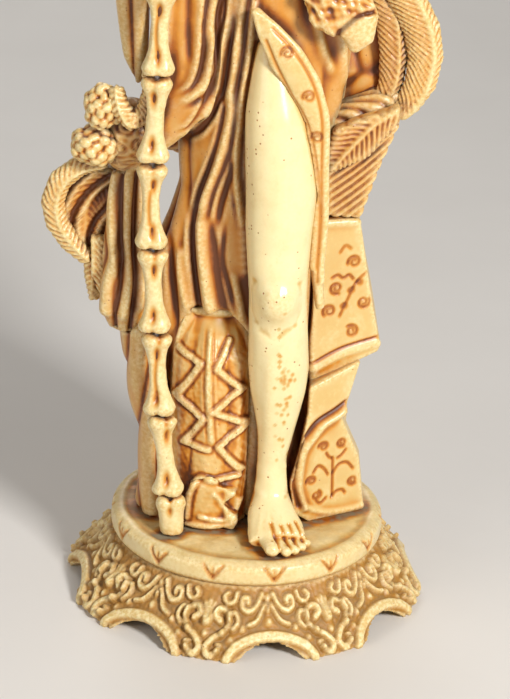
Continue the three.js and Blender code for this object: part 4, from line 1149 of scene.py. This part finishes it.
class CarveHands(bpy.types.Operator):
    """The two hands of bone"""

    bl_idname = "figurine.carve_hands"
    bl_label = "Hands"

    def execute(self, context):
        for name in ("right_hand", "left_hand"):
            c = Carving(name, "bone", 0.7, relax=5, swell=0.1)
            c.relax(4)
            c.settle()
        return {"FINISHED"}


class CarveHead(bpy.types.Operator):
    """A calm, plain skull on its neck, the hair bun and the bead necklace"""

    bl_idname = "figurine.carve_head"
    bl_label = "Skull"

    def execute(self, context):
        c = Carving("skull", "bone", 0.66, relax=6, swell=0.1)
        c.relax(8)
        for side in (-1, 1):
            c.ridge([(0.5 + side * 0.235, 0.60), (0.5 + side * 0.20, 0.565)], 1.6, -0.9, stain=0.85)
            c.ridge([(0.5 + side * 0.10, 0.70), (0.5 + side * 0.24, 0.73), (0.5 + side * 0.38, 0.68)], 0.7, 0.5, rub=0.6)
            c.ridge([(0.5 + side * 0.40, 0.48), (0.5 + side * 0.27, 0.43), (0.5 + side * 0.16, 0.42)], 0.9, 0.6, rub=0.6)
            c.ridge([(0.5 + side * 0.035, 0.475), (0.5 + side * 0.06, 0.42)], 0.55, -0.8, stain=0.9)
            c.ridge([(0.5 + side * 0.26, 0.36), (0.5 + side * 0.24, 0.22)], 1.5, -0.7, stain=0.4)
        c.ridge([(0.30, 0.30), (0.40, 0.285), (0.60, 0.285), (0.70, 0.30)], 0.34, -0.6, stain=0.9)
        for across in np.linspace(0.34, 0.66, 8):
            c.ridge([(across, 0.36), (across, 0.285), (across, 0.215)], 0.28, -0.35, stain=0.75, taper=0.8)
        c.ridge([(0.33, 0.385), (0.5, 0.37), (0.67, 0.385)], 0.6, 0.3)
        c.settle()
        c = Carving("hair_bun", "robe", 0.8, relax=8)
        c.pleats(c.share(0) * 6 + 2 * np.sin(c.share(2) * 3), 0.5, 0.7, stain=0.7)
        c.settle()
        c = Carving("neck", "bone", 0.8, relax=8)
        c.pleats(c.share(2) * 4, 0.5, 0.6, stain=0.6)
        c.settle()
        c = Carving("necklace", "plume", 0.7, relax=4, swell=0.25)
        angle = np.arctan2(c.places[:, 0], -(c.places[:, 1] - 1))
        c.pleats(angle * 26 / np.pi / 2, 0.8, 0.6, stain=0.7)
        c.settle()
        return {"FINISHED"}


class CarveHat(bpy.types.Operator):
    """The wide hat with its band, roses and three plumes"""

    bl_idname = "figurine.carve_hat"
    bl_label = "Hat"

    def execute(self, context):
        c = Carving("hat_brim", "cloak", 1.5, relax=6)
        c.round_out(40)
        radius = np.hypot(c.places[:, 0], c.places[:, 1])
        angle = np.arctan2(c.places[:, 0], -c.places[:, 1])
        c.lift += 0.5 * np.exp(-(((radius - 54.3) / 1.2) ** 2)) - 0.35 * np.exp(-(((radius - 52.0) / 0.7) ** 2))
        c.stained = np.maximum(c.stained, 0.6 * np.exp(-(((radius - 52.0) / 0.7) ** 2)))
        c.lift += 0.5 * np.sin(angle * 5) * ease(radius, 30, 55)
        under = -c.ways[:, 2] > 0.3
        c.pleats(angle * 24 / np.pi / 2, 0.4, 0.8, where=under * ease(radius, 14, 24) * ease(radius, 52, 46))
        c.settle()
        c = Carving("hat_crown", "cloak", 0.9, relax=6)
        c.round_out(24)
        c.ridge([(0.2, 0.985), (0.8, 0.985)], 2.0, -0.6, on=c.chart(1, 2, 1))
        c.knob((0.5, 0.5, 1.0), 8, -1.4)
        c.settle()
        c = Carving("hat_band", "robe", 0.8, relax=4)
        c.round_out(24)
        c.pleats(c.share(2) * 2.5, 0.35, 0.7, stain=0.6)
        c.settle()
        c = Carving("hat_roses", "plume", 0.7, relax=6, swell=0.2)
        for middle in ((0.18, 0.74), (0.5, 0.42), (0.82, 0.20)):
            far = np.linalg.norm((c.places[:, :2] - c.low[:2] - np.array(middle) * c.size[:2]), axis=1)
            turn = np.arctan2(c.places[:, 1] - c.low[1] - middle[1] * c.size[1], c.places[:, 0] - c.low[0] - middle[0] * c.size[0])
            close = ease(far, 6.2, 4.8)
            c.pleats(far / 1.5 + turn * 3 / np.pi / 2, 0.9, 0.7, where=close, stain=0.6)
        c.settle()
        for name, line in (
            ("hat_plume_1", [(0.10, 0.0), (0.25, 0.35), (0.5, 0.7), (0.85, 0.95)]),
            ("hat_plume_2", [(0.08, 0.0), (0.22, 0.35), (0.5, 0.7), (0.9, 0.95)]),
            ("hat_plume_3", [(0.10, 0.0), (0.25, 0.35), (0.5, 0.7), (0.85, 0.95)]),
        ):
            c = Carving(name, "plume", 0.85, relax=10, swell=0.4)
            c.barbs(line, 1.1 * sizes().barb_pitch, 0.9, 0.7, quill=0.7, rub=0.7)
            c.settle()
        return {"FINISHED"}


class WashAndShadeCastings(bpy.types.Operator):
    """Antiques every carved casting: wash in the cuts, painted shade where castings crowd each other, bare resin on
    the crests
    """

    bl_idname = "figurine.wash_castings"
    bl_label = "Antique wash"

    def execute(self, context):
        finishes = {
            "bone": (resin("ivory_bone", 0.03, 0.9, 0.95, (0.02, 0.12), 0.30), "ivory_resin"),
            "leg": (resin("ivory_skin", 0.0, 0.6, 1.0, (0.05, 0.75, 1.7), 0.22, blotch=0.16), "ivory_resin"),
            "cloak": (resin("ivory_cloth", 0.14, 0.8, 1.1, (0.02, 0.15), 0.32), "robe_resin"),
            "robe": (resin("amber_cloth", 0.37, 0.85, 1.1, (0.08, 0.36), 0.32, blotch=0.4), "robe_resin"),
            "apron": (resin("amber_apron", 0.22, 0.95, 0.85, (0.06, 0.32), 0.32, blotch=0.35), "robe_resin"),
            "plume": (resin("ivory_feather", 0.15, 0.9, 1.1, (0.02, 0.1), 0.32, dusty=0.4), "feather_resin"),
            "feather": (resin("amber_feather", 0.34, 0.7, 1.1, (0.03, 0.2), 0.33, dusty=0.5), "feather_resin"),
            "plinth": (resin("scrolled_plinth", 0.2, 1.15, 1.1, (0.03, 0.2), 0.40, 0.3, ground="ochre"), "plinth_resin"),
            "disc": (resin("ivory_ground", 0.06, 0.8, 1.1, (0.02, 0.1), 0.32, dusty=1.0), "plinth_resin"),
        }
        # The crowding grid is what paints shade between neighbouring castings and in deep folds.
        grid, low = crowding(CARVINGS.values())
        for node, carving in CARVINGS.items():
            write_wash_and_shade(carving, grid, low)
            material, slot = finishes[carving.finish]
            piece = carving.object
            piece.data.materials.clear()
            piece.data.materials.append(material)
            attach(piece, "root")
            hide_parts(node)
        return {"FINISHED"}


class PolishSteel(bpy.types.Operator):
    """The steel dowels and the rod inside the castings"""

    bl_idname = "figurine.polish_steel"
    bl_label = "Steel dowels"

    def execute(self, context):
        metal = steel()
        for name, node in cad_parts.items():
            if name not in CARVINGS:
                node.data.materials.clear()
                node.data.materials.append(metal)
        return {"FINISHED"}


class SetStage(bpy.types.Operator):
    """The pale floor, the soft lights and the camera"""

    bl_idname = "figurine.set_stage"
    bl_label = "Stage"

    def execute(self, context):
        scene = context.scene
        stage = scene.stage_sizes
        shape = bmesh.new()
        bmesh.ops.create_grid(shape, x_segments=1, y_segments=1, size=8.0)
        flat = bpy.data.meshes.new("floor")
        shape.to_mesh(flat)
        shape.free()
        floor = bpy.data.objects.new("floor", flat)
        scene.collection.objects.link(floor)
        paper = Finish("floor_paper")
        paper.feed(paper.shader.inputs["Base Color"], paper.mix(paper.noise(60, 4), (0.66, 0.63, 0.59), (0.72, 0.69, 0.65)))
        paper.shader.inputs["Roughness"].default_value = 0.7
        flat.materials.append(paper.material)
        floor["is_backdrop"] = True

        world = bpy.data.worlds.new("studio")
        scene.world = world
        world.use_nodes = True
        world.node_tree.nodes["Background"].inputs["Color"].default_value = (0.86, 0.83, 0.79, 1)
        world.node_tree.nodes["Background"].inputs["Strength"].default_value = 0.26

        low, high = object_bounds()
        middle = Vector(((low.x + high.x) / 2, (low.y + high.y) / 2, 0.11))
        for name, place, power, wide in (
            ("key_light", (0.42, -0.62, 0.52), 8.4, 0.16),
            ("fill_light", (-0.60, -0.50, 0.35), 2.0, 0.6),
            ("back_light", (-0.15, 0.70, 0.65), 2.2, 0.5),
        ):
            lamp = bpy.data.lights.new(name, "AREA")
            lamp.energy = power
            lamp.size = wide
            light = bpy.data.objects.new(name, lamp)
            light.location = place
            light.rotation_euler = (middle - light.location).to_track_quat("-Z", "Y").to_euler()
            scene.collection.objects.link(light)

        lens = bpy.data.cameras.new("camera")
        lens.sensor_fit = "VERTICAL"
        lens.sensor_width = 36.0
        lens.sensor_height = 36.0
        lens.lens = stage.lens
        lens.clip_start = 0.05
        lens.clip_end = 20
        camera = bpy.data.objects.new("camera", lens)
        look = Vector((0, math.cos(stage.elevation), -math.sin(stage.elevation)))
        aim = Vector((0.0002, 0, 0.0657))
        camera.location = aim - look * stage.distance
        turn = look.to_track_quat("-Z", "Y").to_matrix() @ Matrix.Rotation(stage.roll, 3, "Z")
        camera.rotation_euler = turn.to_euler()
        scene.collection.objects.link(camera)
        scene.camera = camera
        scene.view_settings.view_transform = "Standard"
        return {"FINISHED"}


TOOLS = (
    CarveGroundDisc,
    CarvePlinth,
    CarveLeg,
    CarveStaff,
    CarveApron,
    CarveGown,
    CarveLapel,
    CarveCloakFolds,
    CarveRightPlumes,
    CarveLeftPlumes,
    CarveMarigolds,
    CarveDrapes,
    CarveBoa,
    CarveTorso,
    CarveCloak,
    CarveHands,
    CarveHead,
    CarveHat,
    WashAndShadeCastings,
    PolishSteel,
    SetStage,
)


class FigurinePanel(bpy.types.Panel):
    """Lists the carver's tools"""

    bl_idname = "VIEW3D_PT_figurine"
    bl_label = "Figurine"
    bl_space_type = "VIEW_3D"
    bl_region_type = "UI"
    bl_category = "Figurine"

    def draw(self, context):
        for settings in (context.scene.carving_sizes, context.scene.resin_colours, context.scene.stage_sizes):
            for name in settings.__annotations__:
                self.layout.prop(settings, name)
        for tool in TOOLS:
            self.layout.operator(tool.bl_idname)


CLASSES = (CarvingSizes, ResinColours, StageSizes, *TOOLS, FigurinePanel)


def register():
    for cls in CLASSES:
        bpy.utils.register_class(cls)
    bpy.types.Scene.carving_sizes = bpy.props.PointerProperty(type=CarvingSizes)
    bpy.types.Scene.resin_colours = bpy.props.PointerProperty(type=ResinColours)
    bpy.types.Scene.stage_sizes = bpy.props.PointerProperty(type=StageSizes)


def unregister():
    del bpy.types.Scene.stage_sizes
    del bpy.types.Scene.resin_colours
    del bpy.types.Scene.carving_sizes
    for cls in reversed(CLASSES):
        bpy.utils.unregister_class(cls)


def main():
    register()
    for tool in TOOLS:
        group, name = tool.bl_idname.split(".")
        getattr(getattr(bpy.ops, group), name)()


if __name__ == "__main__":
    main()
